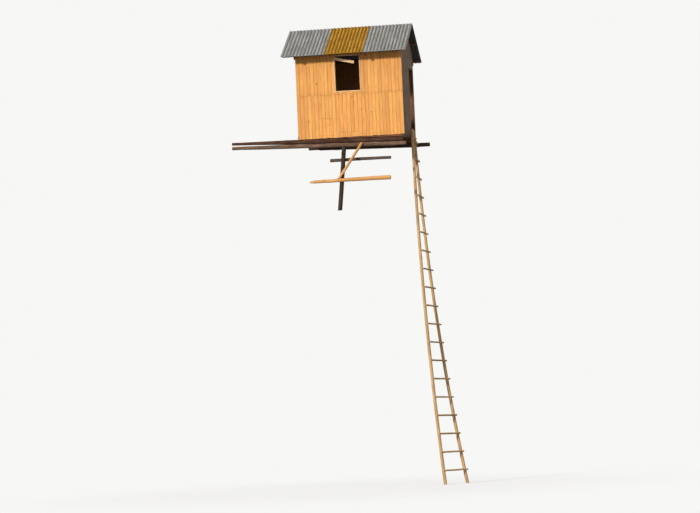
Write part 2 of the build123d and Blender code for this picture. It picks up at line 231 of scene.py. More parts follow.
@dataclass(frozen=True)
class WoodFinish:
    """Bare wood, with grain that runs along each board or pole by its own marks."""

    name: str
    pale: str
    deep: str
    knot: str
    stain: str
    stain_share: float
    tone_spread: float = 0.25
    edge_share: float = 0.6
    gloss: float = 0.2
    fibre_mm: float = 7.0
    fine_mm: float = 2.2
    fine_share: float = 0.13
    # Distance of the figure's lines, which are drawn as so many levels of one noise
    ring_mm: float = 26.0
    ring_levels: float = 9.0
    ring_spread: float = 2.6
    end_ring_mm: float = 9.0
    # How many times longer than wide the figure and the fine streaks are
    stretch: float = 30.0
    fine_stretch: float = 70.0
    knot_gap_mm: float = 230.0
    knot_mm: float = 13.0
    knot_flatten: float = 0.15
    patch_mm: tuple[float, float, float] = (420.0, 420.0, 560.0)
    streak_mm: tuple[float, float, float] = (24.0, 24.0, 520.0)
    plate_mm: tuple[float, float, float] = (13.0, 13.0, 110.0)
    roughness: tuple[float, float] = (0.62, 0.82)
    bump_mm: float = 0.8
    bark: bool = False
    inner: str | None = None

    def build(self) -> bpy.types.Material:
        """Builds the material.

        Returns:
            A material that reads the grain, tone, edge, cut and inner marks.
        """
        material, add = blank_material(self.name)
        grain = add("ShaderNodeAttribute", out="Vector", attribute_name="grain")
        tone, cut, edge = (
            add("ShaderNodeAttribute", out="Fac", attribute_name=mark)
            for mark in ("tone", "cut", "edge")
        )
        place = add("ShaderNodeTexCoord", out="Object")
        noise_at = partial(pattern, add, Node.NOISE)
        # Fibres are drawn a few times coarser than real ones, so that they show at all
        fibre_size = (self.fibre_mm, self.fibre_mm, self.fibre_mm * self.stretch)
        fibre = noise_at(grain, fibre_size, 3.0, 0.2)
        wide = self.ring_mm * self.ring_spread
        ring = noise_at(grain, (wide, wide, self.ring_mm * self.stretch), 1.0, 0.3)
        contour = add(Node.MULTIPLY, ring, self.ring_levels)
        rings = add(Node.PINGPONG, contour, 1.0)
        figure = add(Node.MULTIPLY_ADD, rings, 0.45, add(Node.MULTIPLY, fibre, 0.55))
        # Each board or pole has its own tint and is a little lighter or darker than the next
        tint = add(Node.FRACT, add(Node.MULTIPLY, tone, TINT_SHUFFLE))
        share = add(Node.MULTIPLY_ADD, tint, 0.35, add(Node.SMOOTH, figure, 0.2, 0.8, 0.0, 0.65))
        base = add(Node.MIX, share, colour(self.pale), colour(self.deep))
        # Saw marks and raised fibres as fine streaks along the grain
        fine_size = (self.fine_mm, self.fine_mm, self.fine_mm * self.fine_stretch)
        fine = noise_at(grain, fine_size, 5.0)
        light = add(
            Node.MULTIPLY,
            add(Node.SMOOTH, tone, 0.0, 1.0, 1 - self.tone_spread, 1 + self.tone_spread),
            add(Node.SMOOTH, fine, 0.3, 0.7, 1 - self.fine_share, 1 + self.fine_share),
        )
        value = add("ShaderNodeHueSaturation", fill={"Value": light, "Color": base})
        gap, size = self.knot_gap_mm, self.knot_mm / self.knot_gap_mm
        cell = pattern(add, Node.CELLS, grain, (gap, gap / self.knot_flatten, gap))
        heart = add(Node.SMOOTH, cell, size * 0.3, size * 0.9, 0.55, 0.0)
        knot = add(Node.MIX, heart, colour(self.knot), colour(self.deep))
        knotted = add(
            Node.MIX, add(Node.SMOOTH, cell, size * 0.75, size * 1.5, 0.85, 0.0), value, knot
        )
        # Grey or dark weather stain in wide patches, broken into streaks along the grain
        patch = noise_at(place, self.patch_mm, 4.0, 0.4)
        streak = noise_at(grain, self.streak_mm, 2.0)
        weather = add(
            Node.MULTIPLY,
            add(Node.SMOOTH, patch, 0.38, 0.72, 0.0, self.stain_share),
            add(Node.SMOOTH, streak, 0.3, 0.7),
        )
        finish = add(Node.MIX, weather, knotted, colour(self.stain))
        height = add(Node.MULTIPLY_ADD, fine, 0.7, figure)
        if self.bark:
            finish, height = self.fissures(add, grain, finish, height)
        else:
            # Wet has drawn into the edges, of which some shut tight and some gape
            soaked = add(Node.MULTIPLY_ADD, streak, 0.8, add(Node.SUBTRACT, edge, 0.4))
            spread = add(Node.FRACT, add(Node.MULTIPLY, tone, GAPE_SHUFFLE))
            gape = add(Node.ADD, spread, 0.35)
            wet = add(Node.SMOOTH, soaked, 0.3, 1.0, 0.0, self.edge_share)
            finish = add(Node.MIX, add(Node.MULTIPLY, wet, gape), finish, colour(self.knot))
        if self.inner:
            # The room's side of the boards keeps the warm colour of the wood, without the outer
            # face's painted shade
            room_side = add("ShaderNodeAttribute", out="Fac", attribute_name="inner")
            kept = add(Node.MIX, 0.8, finish, colour(self.inner))
            finish = add(Node.MIX, room_side, finish, kept)
        final = add(Node.MIX, cut, finish, self.sawn_end(add, grain))
        relief = add(Node.BUMP, height, 0.7, self.bump_mm * MM)
        rough = add(Node.SMOOTH, figure, 0.2, 0.8, *self.roughness)
        shader = add(Node.SURFACE, final, rough, relief, self.gloss)
        add("ShaderNodeOutputMaterial", shader)
        return material

    def fissures(
        self, add: Callable[..., Socket], grain: Socket, base: Socket, height: Socket
    ) -> tuple[Socket, Socket]:
        """Adds the long dark cracks and flaking plates of bark.

        Args:
            add: Adds a node to the material.
            grain: Grain coordinates.
            base: Colour without cracks.
            height: Height without cracks.

        Returns:
            The colour and the height with the cracks in them.
        """
        # The cracks wander, because the plates' places are pushed about by a noise
        push = pattern(add, Node.NOISE, grain, (35.0, 35.0, 60.0), 4.0, out="Color")
        plates = add(Node.STRETCH, grain, [1 / (size * MM) for size in self.plate_mm])
        sway = add(
            "ShaderNodeVectorMath", push, (1.3, 1.3, 0.9), plates, operation="MULTIPLY_ADD"
        )
        line = add(Node.SMOOTH, add(Node.CRACKS, sway, 1.0), 0.0, 0.14, 0.7, 0.0)
        depth = pattern(add, Node.NOISE, grain, (60.0, 60.0, 260.0), 2.0)
        crack = add(Node.MULTIPLY, line, add(Node.SMOOTH, depth, 0.35, 0.6))
        cracked = add(Node.MIX, crack, base, colour(self.knot))
        return cracked, add(Node.MULTIPLY_ADD, crack, -1.2, height)

    def sawn_end(self, add: Callable[..., Socket], grain: Socket) -> Socket:
        """Draws the year rings and the soiled face where the wood is cut across.

        Args:
            add: Adds a node to the material.
            grain: Grain coordinates.

        Returns:
            The colour of the cut faces.
        """
        away = add(Node.LENGTH, add(Node.STRETCH, grain, (1.0, 1.0, 0.0)))
        line = add(Node.PINGPONG, add(Node.MULTIPLY, away, 1 / (self.end_ring_mm * MM)), 1.0)
        ring = add(Node.SMOOTH, line, 0.3, 0.9)
        return add(Node.MIX, ring, colour(self.pale), colour(self.stain))


@dataclass(frozen=True)
class SheetFinish:
    """Corrugated steel sheet: zinc coat or paint, with dirt runs, dirt and painted shade in the
    valleys, and rust.
    """

    name: str
    pale: str
    deep: str
    dirt_and_shade: str
    rust_pale: str
    rust_deep: str
    metallic: float
    roughness: tuple[float, float]
    dirt_and_shade_share: float
    rust_share: float
    gloss: float
    under_shade: str = "2b2622"
    blotch_mm: float = 150.0
    # Along the waves, down the slope, and through the sheet where nothing changes
    run_mm: tuple[float, float, float] = (30.0, 700.0, 1000.0)
    flake_mm: tuple[float, float, float] = (28.0, 60.0, 1000.0)
    rust_mm: tuple[float, float, float] = (260.0, 420.0, 1000.0)
    spangle_mm: float = 22.0
    spangle_share: float = 0.35

    def build(self) -> bpy.types.Material:
        """Builds the material.

        Returns:
            A material that reads the sheet, rust and under marks.
        """
        material, add = blank_material(self.name)
        sheet = add("ShaderNodeAttribute", out="Vector", attribute_name="sheet")
        near_rust, under = (
            add("ShaderNodeAttribute", out="Fac", attribute_name=mark) for mark in ("rust", "under")
        )
        noise_at = partial(pattern, add, Node.NOISE, sheet)
        # Zinc crystals are drawn a little larger than the real 10 to 15 mm
        crystals = pattern(add, Node.CELLS, sheet, (self.spangle_mm,) * 3, out="Color")
        spangle = add("ShaderNodeSeparateColor", crystals)
        blotch = noise_at((self.blotch_mm, self.blotch_mm * 2.2, 1000.0), 4.0, 0.6)
        deep = colour(self.deep)
        base = add(Node.MIX, add(Node.SMOOTH, blotch, 0.3, 0.7), colour(self.pale), deep)
        crystal = add(Node.MIX, add(Node.MULTIPLY, spangle, self.spangle_share), base, deep)
        # Rain leaves long runs of dirt down the slope; the valleys are darkened with dirt and
        # painted shade
        valley_shade = add(Node.SMOOTH, add("ShaderNodeSeparateXYZ", sheet, out=2), 0.5, -0.9)
        runs = add(Node.SMOOTH, noise_at(self.run_mm, 3.0, 0.1), 0.5, 0.8, 0.0, 0.6)
        dirt_and_shade = add(Node.MULTIPLY, add(Node.ADD, valley_shade, runs), self.dirt_and_shade_share)
        dirtied_and_shaded = add(Node.MIX, dirt_and_shade, crystal, colour(self.dirt_and_shade))
        flakes = noise_at(self.flake_mm, 5.0, 0.5)
        spread = noise_at(self.rust_mm, 3.0, 0.3)
        reach = add(
            Node.ADD, near_rust, add(Node.SMOOTH, spread, 0.55, 0.85, 0.0, self.rust_share)
        )
        rusted = add(Node.SMOOTH, add(Node.MULTIPLY_ADD, flakes, 0.5, reach), 0.62, 0.95)
        rust = add(
            Node.MIX, add(Node.SMOOTH, flakes, 0.35, 0.65),
            colour(self.rust_deep), colour(self.rust_pale),
        )
        # The underside is painted dark in patches as shade, and made dull
        painted_under_shade = add(Node.MULTIPLY, under, add(Node.SMOOTH, blotch, 0.2, 0.8, 0.8, 0.95))
        final = add(Node.MIX, painted_under_shade, add(Node.MIX, rusted, dirtied_and_shaded, rust), colour(self.under_shade))
        dull = add(Node.MAXIMUM, rusted, under)
        metal = add(Node.SMOOTH, dull, 0.0, 1.0, self.metallic, 0.0) if self.metallic else 0.0
        worn = add(Node.SMOOTH, blotch, 0.3, 0.7, *self.roughness)
        rough = add(Node.MAXIMUM, worn, add(Node.MULTIPLY, dull, 0.9))
        relief = add(Node.BUMP, add(Node.MULTIPLY_ADD, rusted, flakes, blotch), 0.35, 0.6 * MM)
        add("ShaderNodeOutputMaterial", add(Node.SURFACE, final, rough, relief, self.gloss, metal))
        return material


@dataclass(frozen=True)
class NailFinish:
    """Hammered steel nail heads, gone brown with rust."""

    name: str = "rusty_nail_steel"
    bright: str = "6e655c"
    rust: str = "4a3324"

    def build(self) -> bpy.types.Material:
        """Builds the material.

        Returns:
            A material on object coordinates.
        """
        material, add = blank_material(self.name)
        place = add("ShaderNodeTexCoord", out="Object")
        spots = pattern(add, Node.NOISE, place, (6.0, 6.0, 6.0), 3.0)
        share = add(Node.SMOOTH, spots, 0.35, 0.6)
        tint = add(Node.MIX, share, colour(self.bright), colour(self.rust))
        rough = add(Node.SMOOTH, spots, 0.3, 0.7, 0.4, 0.8)
        shader = add(Node.SURFACE, tint, rough, fill={"Metallic": 0.6})
        add("ShaderNodeOutputMaterial", shader)
        return material


class Look(Enum):
    """Each finish by its slot in the record, with a word more where some share a slot."""

    FRONT_BOARDS = "front_boards"
    SIDE_BOARDS = "side_boards"
    FRAME = "frame_timber"
    FLOOR = "floor_timber"
    WINDOW = "window_timber"
    BARK = "bearer_poles"
    RED_BARK = "bearer_poles/red"
    SUNLIT_BARK = "bearer_poles/worn"
    BLACK_BARK = "bearer_poles/black"
    PEELED = "peeled_poles"
    LADDER = "ladder_poles"
    ZINC = "grey_sheet"
    OCHRE = "ochre_sheet"

    @property
    def slot(self) -> str:
        """The record's material slot."""
        return self.value.split("/")[0]


class Finishes:
    """All finishes of the object."""

    def __init__(self) -> None:
        """Builds each material once."""
        bark = {
            "knot_gap_mm": 260.0, "knot_mm": 20.0, "knot_flatten": 1.0,
            "roughness": (0.75, 0.95), "bump_mm": 4.0, "bark": True,
        }
        peeled = {"knot_mm": 18.0, "bump_mm": 1.5, "knot_flatten": 1.0, "edge_share": 0.3}
        finishes = {
            # Sawn softwood boards, warm with resin, with dark wet-stained edges in the sun
            Look.FRONT_BOARDS: WoodFinish(
                "sawn_pine_warm", "fbb762", "e89c57", "6b3d1c", "c4884e", 0.3, 0.08, 0.36
            ),
            # Boards gone dull grey brown, and drawn darker still as painted shade
            Look.SIDE_BOARDS: WoodFinish(
                "sawn_pine_grey_painted_shade", "8d7866", "6c5847", "382b21", "625b53", 0.6, 0.16, 0.5,
                gloss=0.05, inner="d69a5e",
            ),
            # Rough-sawn roof and wall timber, reddish brown
            Look.FRAME: WoodFinish(
                "rough_sawn_timber", "8c5d3c", "643c26", "34200f", "43342a", 0.5, 0.15, 0.4
            ),
            # Floor boards, trodden and dusty
            Look.FLOOR: WoodFinish(
                "trodden_floor_boards", "8a6c4e", "664c36", "382819", "504338", 0.5, 0.15, 0.5
            ),
            # Planed strips round the window, paler than the boards beside them
            Look.WINDOW: WoodFinish(
                "planed_pale_strip", "fdd7a8", "f2c08c", "8a5c30", "c8955f", 0.2, 0.05, 0.06
            ),
            # Poles that kept their bark: grey brown plates with dark cracks
            Look.BARK: WoodFinish(
                "grey_bark_pole", "776657", "4d3e33", "221913", "7f7b70", 0.45, 0.15, **bark
            ),
            # Dark red brown bark, whose darkness is partly painted shade under the wall
            Look.RED_BARK: WoodFinish(
                "red_brown_bark_pole", "7a5139", "452a1b", "1d110a", "5f5852", 0.4, 0.15, **bark
            ),
            # Lighter, warmer brown bark: painted sunlight on the lower front bearer
            Look.SUNLIT_BARK: WoodFinish(
                "bark_pole_painted_sunlight", "9c7a62", "664a38", "2b1c13", "7a7066", 0.45, 0.12, **bark
            ),
            # Almost black bark: painted deep shade on the rear bearer and the post
            Look.BLACK_BARK: WoodFinish(
                "dark_bark_pole_painted_shade", "5a4534", "32251b", "150e09", "45423a", 0.45, 0.12, **bark
            ),
            # Peeled poles, honey coloured with darker strips of inner bark
            Look.PEELED: WoodFinish(
                "peeled_pole_wood", "f0bd7e", "d4944f", "6f4524", "9a6238", 0.5, 0.08,
                knot_gap_mm=210.0, **peeled,
            ),
            # Ladder poles, peeled and weathered to a dull straw
            Look.LADDER: WoodFinish(
                "weathered_ladder_wood", "dcb681", "b78c55", "5e4127", "8f7a5c", 0.5, 0.10,
                knot_gap_mm=240.0, **peeled,
            ),
            # Zinc-coated steel, dull grey after years out of doors
            Look.ZINC: SheetFinish(
                "weathered_zinc_sheet", "b7b6b0", "8f8e87", "3d3a35", "8c5a34", "57331e",
                0.3, (0.42, 0.6), 0.75, 0.1, 0.4,
            ),
            # Ochre paint on the same sheet, chalky, with dirt and painted shade in the valleys
            Look.OCHRE: SheetFinish(
                "chalky_ochre_paint", "d89e26", "a97714", "3c2806", "7d4d27", "4f2f1b",
                0.0, (0.6, 0.8), 0.7, 0.14, 0.12, spangle_share=0.1,
            ),
        }
        self.materials = {look: finish.build() for look, finish in finishes.items()}
        self.nail = NailFinish().build()


def write_mark(mesh: bpy.types.Mesh, name: str, domain: str, values: list[object]) -> None:
    """Stores values on a mesh for its finish to read.

    Args:
        mesh: Mesh that gets them.
        name: Name of the attribute.
        domain: POINT or FACE.
        values: A number or a vector for each point or face.
    """
    vectors = isinstance(values[0], Vector)
    data = mesh.attributes.new(name, "FLOAT_VECTOR" if vectors else "FLOAT", domain).data
    if vectors:
        data.foreach_set("vector", [part for value in values for part in value])
    else:
        data.foreach_set("value", values)


def seat(mesh: bpy.types.Mesh, name: str, slot: str | None, *nodes: str) -> None:
    """Puts a finished mesh into the scene at the origin and on its body.

    Args:
        mesh: The mesh, with its place in its points.
        name: Name of the object.
        slot: The record's material slot, or None; not used.
        nodes: CAD nodes that it stands for.
    """
    piece = bpy.data.objects.new(name, mesh)
    bpy.context.scene.collection.objects.link(piece)
    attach(piece, BODY)
    if nodes:
        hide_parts(*nodes)
    log.info("%s: %d faces", name, len(mesh.polygons))


def solid_boxes(node: str) -> list[tuple[Vector, Vector]]:
    """Finds the box of each separate solid in a CAD node.

    Args:
        node: The node's name.

    Returns:
        Lowest and highest corners, from left to right, front to back and low to high.
    """
    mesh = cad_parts[node].data
    keys = [tuple(round(c, 5) for c in v.co) for v in mesh.vertices]
    parent = {key: key for key in keys}

    def root(key: tuple[float, ...]) -> tuple[float, ...]:
        """Follows a point to the one that stands for its solid.

        Args:
            key: The point.

        Returns:
            The solid's own point.
        """
        while parent[key] != key:
            parent[key] = parent[parent[key]]
            key = parent[key]
        return key

    for polygon in mesh.polygons:
        corners = [keys[i] for i in polygon.vertices]
        for other in corners[1:]:
            parent[root(other)] = root(corners[0])
    groups: dict[tuple[float, ...], list[tuple[float, ...]]] = {}
    for key in parent:
        groups.setdefault(root(key), []).append(key)
    boxes = [(Vector(map(min, zip(*g))), Vector(map(max, zip(*g)))) for g in groups.values()]
    return sorted(boxes, key=lambda box: tuple(box[0]))


class Piece:
    """A mesh that grows board by board or pole by pole, with marks for its finish."""

    def __init__(self, name: str, seed: int) -> None:
        """Starts an empty mesh.

        Args:
            name: Name of the finished object.
            seed: Seed of the piece's own random draws.
        """
        self.name = name
        self.draw = random.Random(seed)
        self.points: list[Vector] = []
        self.faces: list[tuple[int, ...]] = []
        self.grain: list[Vector] = []
        self.edge: list[float] = []
        self.tone: list[float] = []
        self.cut: list[float] = []
        self.inner: list[float] = []

    def point(self, place: Vector, grain: Vector, edge: float = 0.0) -> None:
        """Adds a point.

        Args:
            place: Where it is.
            grain: Its place in the wood, with the grain along Z.
            edge: One on an edge and zero elsewhere.
        """
        self.points.append(place)
        self.grain.append(grain)
        self.edge.append(edge)

    def face(
        self, corners: tuple[int, ...], tone: float, cut: float = 0.0, inner: float = 0.0
    ) -> None:
        """Adds a face.

        Args:
            corners: Its points, anticlockwise from outside.
            tone: Lightness of its board or pole, from 0 to 1.
            cut: One where the wood is cut across.
            inner: One where a wall board faces the room.
        """
        self.faces.append(corners)
        self.tone.append(tone)
        self.cut.append(cut)
        self.inner.append(inner)

    def skin(
        self, first: int, rings: int, sides: int, tone: float, room: range = range(0)
    ) -> None:
        """Adds the side faces between rings of points.

        Args:
            first: First point of the first ring.
            rings: Number of rings.
            sides: Number of points in a ring.
            tone: Lightness of its board or pole, from 0 to 1.
            room: Sides that face the room on a wall board.
        """
        for start in range(first, first + (rings - 1) * sides, sides):
            for j in range(sides):
                a, b = start + j, start + (j + 1) % sides
                self.face((a, b, b + sides, a + sides), tone, inner=float(j in room))

    def plank(
        self,
        corner: Vector,
        along: Vector,
        across: Vector,
        width: float,
        thickness: float,
        start: Measure,
        end: Measure,
        chamfer: float = 0.003,
        warp: float = 0.0,
        segments: int = 1,
        tone: float | None = None,
    ) -> None:
        """Adds a sawn board or timber with broken edges.

        Args:
            corner: Place where along, across and out are all zero.
            along: Unit direction of the grain.
            across: Unit direction of the width.
            width: Size across.
            thickness: Size along the third axis, which is along crossed with across.
            start: Lower end's place along the board, by the share of the width.
            end: Upper end's place along the board, by the share of the width.
            chamfer: Size of the broken edges.
            warp: How far the middle bows out of the board's plane.
            segments: Number of parts along the board.
            tone: Lightness from 0 to 1, or None for a random one.
        """
        out = along.cross(across)
        c = min(chamfer, width / 4, thickness / 4)
        rim = min(EDGE_WEAR, width / 3)
        # Round the section: place across, place through and share of edge wear
        ring = [
            (c, 0.0, 1.0), (rim, 0.0, 0.0), (width - rim, 0.0, 0.0), (width - c, 0.0, 1.0),
            (width, c, 1.0), (width, thickness - c, 1.0), (width - c, thickness, 1.0),
            (width - rim, thickness, 0.0), (rim, thickness, 0.0), (c, thickness, 1.0),
            (0.0, thickness - c, 1.0), (0.0, c, 1.0),
        ]
        # Along it: share of the length, distance on from there and share of edge wear
        stations = [
            (0.0, 0.0, 1.0), (0.0, rim, 0.0),
            *((i / segments, 0.0, 0.0) for i in range(1, segments)),
            (1.0, -rim, 0.0), (1.0, 0.0, 1.0),
        ]
        first = len(self.points)
        shift = Vector([self.draw.uniform(0, GRAIN_SHIFT) for _ in range(3)])
        # The pith lies a little off the board, so that cut ends show curved rings
        pith = Vector((width * self.draw.uniform(0.2, 0.8), -self.draw.uniform(0.01, 0.06), 0))
        for share, inset, end_wear in stations:
            bow = warp * 4 * share * (1 - share)
            for u, v, side_wear in ring:
                low, high = start(u / width), end(u / width)
                reach = low + (high - low) * share + inset
                place = corner + along * reach + across * u + out * (v + bow)
                self.point(place, Vector((u, v, reach)) - pith + shift, max(end_wear, side_wear))
        shade = self.draw.random() if tone is None else tone
        # The three strips across the far side face the room on a wall board
        self.skin(first, len(stations), len(ring), shade, range(6, 9))
        caps = ((11, 0, 9, 10), (0, 1, 8, 9), (1, 2, 7, 8), (2, 3, 6, 7), (3, 4, 5, 6))
        for base, order in ((first, -1), (len(self.points) - len(ring), 1)):
            for cap in caps:
                self.face(tuple(base + j for j in cap[::order]), shade, 1.0)

    def block(self, low: Vector, high: Vector, chamfer: float = 0.003) -> None:
        """Adds a timber that fills a box, with its grain along the longest side.

        Args:
            low: Lowest corner.
            high: Highest corner.
            chamfer: Size of the broken edges.
        """
        size = high - low
        longest, wide, thin = sorted(range(3), key=lambda k: -size[k])
        along, across = (Vector([float(k == axis) for k in range(3)]) for axis in (longest, wide))
        corner = low.copy()
        if sum(along.cross(across)) < 0:
            corner[thin] = high[thin]
        self.plank(
            corner, along, across, size[wide], size[thin],
            lambda _: 0.0, lambda _: size[longest], chamfer,
        )

    def pole(
        self,
        line: Line,
        radius: Measure,
        length: float | None = None,
        step: float = 0.05,
        sides: int = 20,
        lumps: float = 0.04,
        knots: int = 6,
        clamp: Callable[[Vector], Vector] = Vector,
        tone: float | None = None,
    ) -> None:
        """Adds a round pole with lumps, knots and rounded ends.

        Args:
            line: Centre point by the share of the length.
            radius: Radius by the share of the length.
            length: Length of the pole, or None where it is straight from end to end.
            step: Distance between rings.
            sides: Number of points in a ring.
            lumps: Size of the low bumps as a share of the radius.
            knots: Number of knots with a stub.
            clamp: Moves a surface point that a cut or seat takes away.
            tone: Lightness from 0 to 1, or None for a random one.
        """
        uniform = self.draw.uniform
        chord = line(1.0) - line(0.0)
        length = length or chord.length
        rings = max(2, round(length / step))
        # An extra ring close to each end rounds its edge off
        edge = min(0.2, END_RING / length)
        shares = [0.0, edge, *(edge + (1 - 2 * edge) * (i + 1) / rings for i in range(rings)), 1.0]
        stubs = [
            (uniform(0.04, 0.96), uniform(0, math.tau), uniform(0.5, 1.0)) for _ in range(knots)
        ]
        phase = uniform(0, GRAIN_SHIFT)
        shift = Vector((0.0, 0.0, phase))
        first, last = len(self.points), len(shares) - 1
        side = chord.normalized().orthogonal().normalized()
        for i, share in enumerate(shares):
            ahead = (line(min(1.0, share + 0.01)) - line(max(0.0, share - 0.01))).normalized()
            across = (side - ahead * side.dot(ahead)).normalized()
            over = ahead.cross(across)
            at_end = i in (0, last)
            for j in range(sides):
                angle = math.tau * j / sides
                cos, sin = math.cos(angle), math.sin(angle)
                spot = Vector((cos * 1.3, sin * 1.3, share * length * 2.2 + phase))
                swell = 1 + lumps * noise.noise(spot) + lumps * 0.5 * noise.noise(spot * 3.1)
                for at, turn, size in stubs:
                    reach = (share - at) * length / STUB_REACH
                    turned = math.atan2(math.sin(angle - turn), math.cos(angle - turn)) / STUB_TURN
                    if abs(reach) < 3 and abs(turned) < 3:
                        swell += STUB_SWELL * size * math.exp(-reach * reach - turned * turned)
                r = radius(share) * (END_SHRINK if at_end else 1.0) * swell
                place = line(share) + (across * cos + over * sin) * r
                self.point(
                    clamp(place), Vector((r * cos, r * sin, share * length)) + shift, float(at_end)
                )
        shade = self.draw.random() if tone is None else tone
        self.skin(first, len(shares), sides, shade)
        for base, share, order in ((first, 0.0, -1), (first + last * sides, 1.0, 1)):
            hub = len(self.points)
            self.point(clamp(line(share)), Vector((0.0, 0.0, share * length)) + shift)
            for j in range(sides):
                self.face((hub, *(base + k % sides for k in (j, j + 1)[::order])), shade, 1.0)

    def finish(self, finishes: Finishes, look: Look, *nodes: str, smooth: bool = False) -> None:
        """Makes the object, dresses it and lets it stand for its nodes.

        Args:
            finishes: All materials.
            look: Its finish.
            nodes: CAD nodes that the piece stands for.
            smooth: Whether the sides are shaded smooth.
        """
        mesh = bpy.data.meshes.new(self.name)
        mesh.from_pydata(self.points, [], self.faces)
        write_mark(mesh, "grain", "POINT", self.grain)
        write_mark(mesh, "edge", "POINT", self.edge)
        write_mark(mesh, "tone", "FACE", self.tone)
        write_mark(mesh, "cut", "FACE", self.cut)
        if any(self.inner):
            write_mark(mesh, "inner", "FACE", self.inner)
        mesh.polygons.foreach_set("use_smooth", [smooth and not cut for cut in self.cut])
        mesh.materials.append(finishes.materials[look])
        seat(mesh, self.name, look.slot, *nodes)


def geometry_tree(
    name: str, inputs: dict[str, str]
) -> tuple[Tree, Callable[..., Socket], bpy.types.NodeOutputs]:
    """Starts a geometry tree with named inputs.

    Args:
        name: The tree's name.
        inputs: Type of each input by its name.

    Returns:
        The tree, a function that adds a node to it, and the inputs' sockets.
    """
    tree = bpy.data.node_groups.new(name, "GeometryNodeTree")
    tree.is_modifier = True
    for title, kind in {"Geometry": "Geometry", **inputs}.items():
        tree.interface.new_socket(name=title, in_out="INPUT", socket_type=f"NodeSocket{kind}")
    tree.interface.new_socket(name="Geometry", in_out="OUTPUT", socket_type="NodeSocketGeometry")
    add = partial(add_node, tree)
    return tree, add, add("NodeGroupInput").node.outputs


def run_tree(mesh: bpy.types.Mesh, tree: Tree, values: dict[str, object]) -> bpy.types.Mesh:
    """Runs a geometry tree on a mesh and returns the plain result.

    Args:
        mesh: Mesh that the tree starts from.
        tree: The geometry tree.
        values: Value of each named input.

    Returns:
        The new mesh.
    """
    holder = bpy.data.objects.new("holder", mesh)
    bpy.context.scene.collection.objects.link(holder)
    modifier = holder.modifiers.new("shape", "NODES")
    modifier.node_group = tree
    for item in tree.interface.items_tree:
        if item.in_out == "INPUT" and item.name in values:
            modifier[item.identifier] = values[item.name]
    graph = bpy.context.evaluated_depsgraph_get()
    graph.update()
    result = bpy.data.meshes.new_from_object(
        holder.evaluated_get(graph), preserve_all_data_layers=True, depsgraph=graph
    )
    holder.modifiers.remove(modifier)
    bpy.data.objects.remove(holder)
    return result


@cache
def nail_tree() -> Tree:
    """Builds the tree that sets a nail head on each point, turned the way it faces.

    Returns:
        The tree, with the inputs Head, Height, Sides, Seed and Finish.
    """
    kinds = {
        "Head": "Float", "Height": "Float", "Sides": "Int", "Seed": "Int", "Finish": "Material",
    }
    tree, add, given = geometry_tree("nail_heads", kinds)
    top = add(Node.MULTIPLY, given["Head"], 0.55)
    head = add(
        "GeometryNodeMeshCone", fill_type="NGON",
        fill={
            "Vertices": given["Sides"], "Radius Top": top,
            "Radius Bottom": given["Head"], "Depth": given["Height"],
        },
    )
    facing = add("GeometryNodeInputNamedAttribute", "facing", data_type="FLOAT_VECTOR")
    turn = add("FunctionNodeAlignRotationToVector", fill={"Vector": facing}, axis="Z")
    size = add("FunctionNodeRandomValue", out=1, fill={"Seed": given["Seed"]}, data_type="FLOAT")
    size.node.inputs[2].default_value, size.node.inputs[3].default_value = 0.85, 1.2
    spread = add(
        "GeometryNodeInstanceOnPoints", given["Geometry"],
        fill={"Instance": head, "Rotation": turn, "Scale": size},
    )
    real = add("GeometryNodeRealizeInstances", spread)
    coated = add("GeometryNodeSetMaterial", real, fill={"Material": given["Finish"]})
    add("NodeGroupOutput", coated)
    return tree


@dataclass
class NailRow:
    """Nail heads that make one piece."""

    head: float = 0.0045
    height: float = 0.0018
    sides: int = 8
    places: list[Vector] = field(default_factory=list)
    facings: list[Vector] = field(default_factory=list)

    def add(self, place: Vector, facing: Vector) -> None:
        """Adds one head.

        Args:
            place: The middle of the head.
            facing: Direction that it faces.
        """
        self.places.append(place)
        self.facings.append(facing.normalized())

    def build(self, name: str, finish: bpy.types.Material, seed: int) -> None:
        """Makes the heads.

        Args:
            name: Name of the piece.
            finish: Material of the heads.
            seed: Seed of their sizes.
        """
        mesh = bpy.data.meshes.new(name)
        mesh.from_pydata(self.places, [], [])
        write_mark(mesh, "facing", "POINT", self.facings)
        values = {
            "Head": self.head, "Height": self.height, "Sides": self.sides,
            "Seed": seed, "Finish": finish,
        }
        seat(run_tree(mesh, nail_tree(), values), name, None)


@dataclass
class Opening:
    """A hole in a wall, along the wall's own two axes."""

    left: float
    right: float
    bottom: float
    top: float


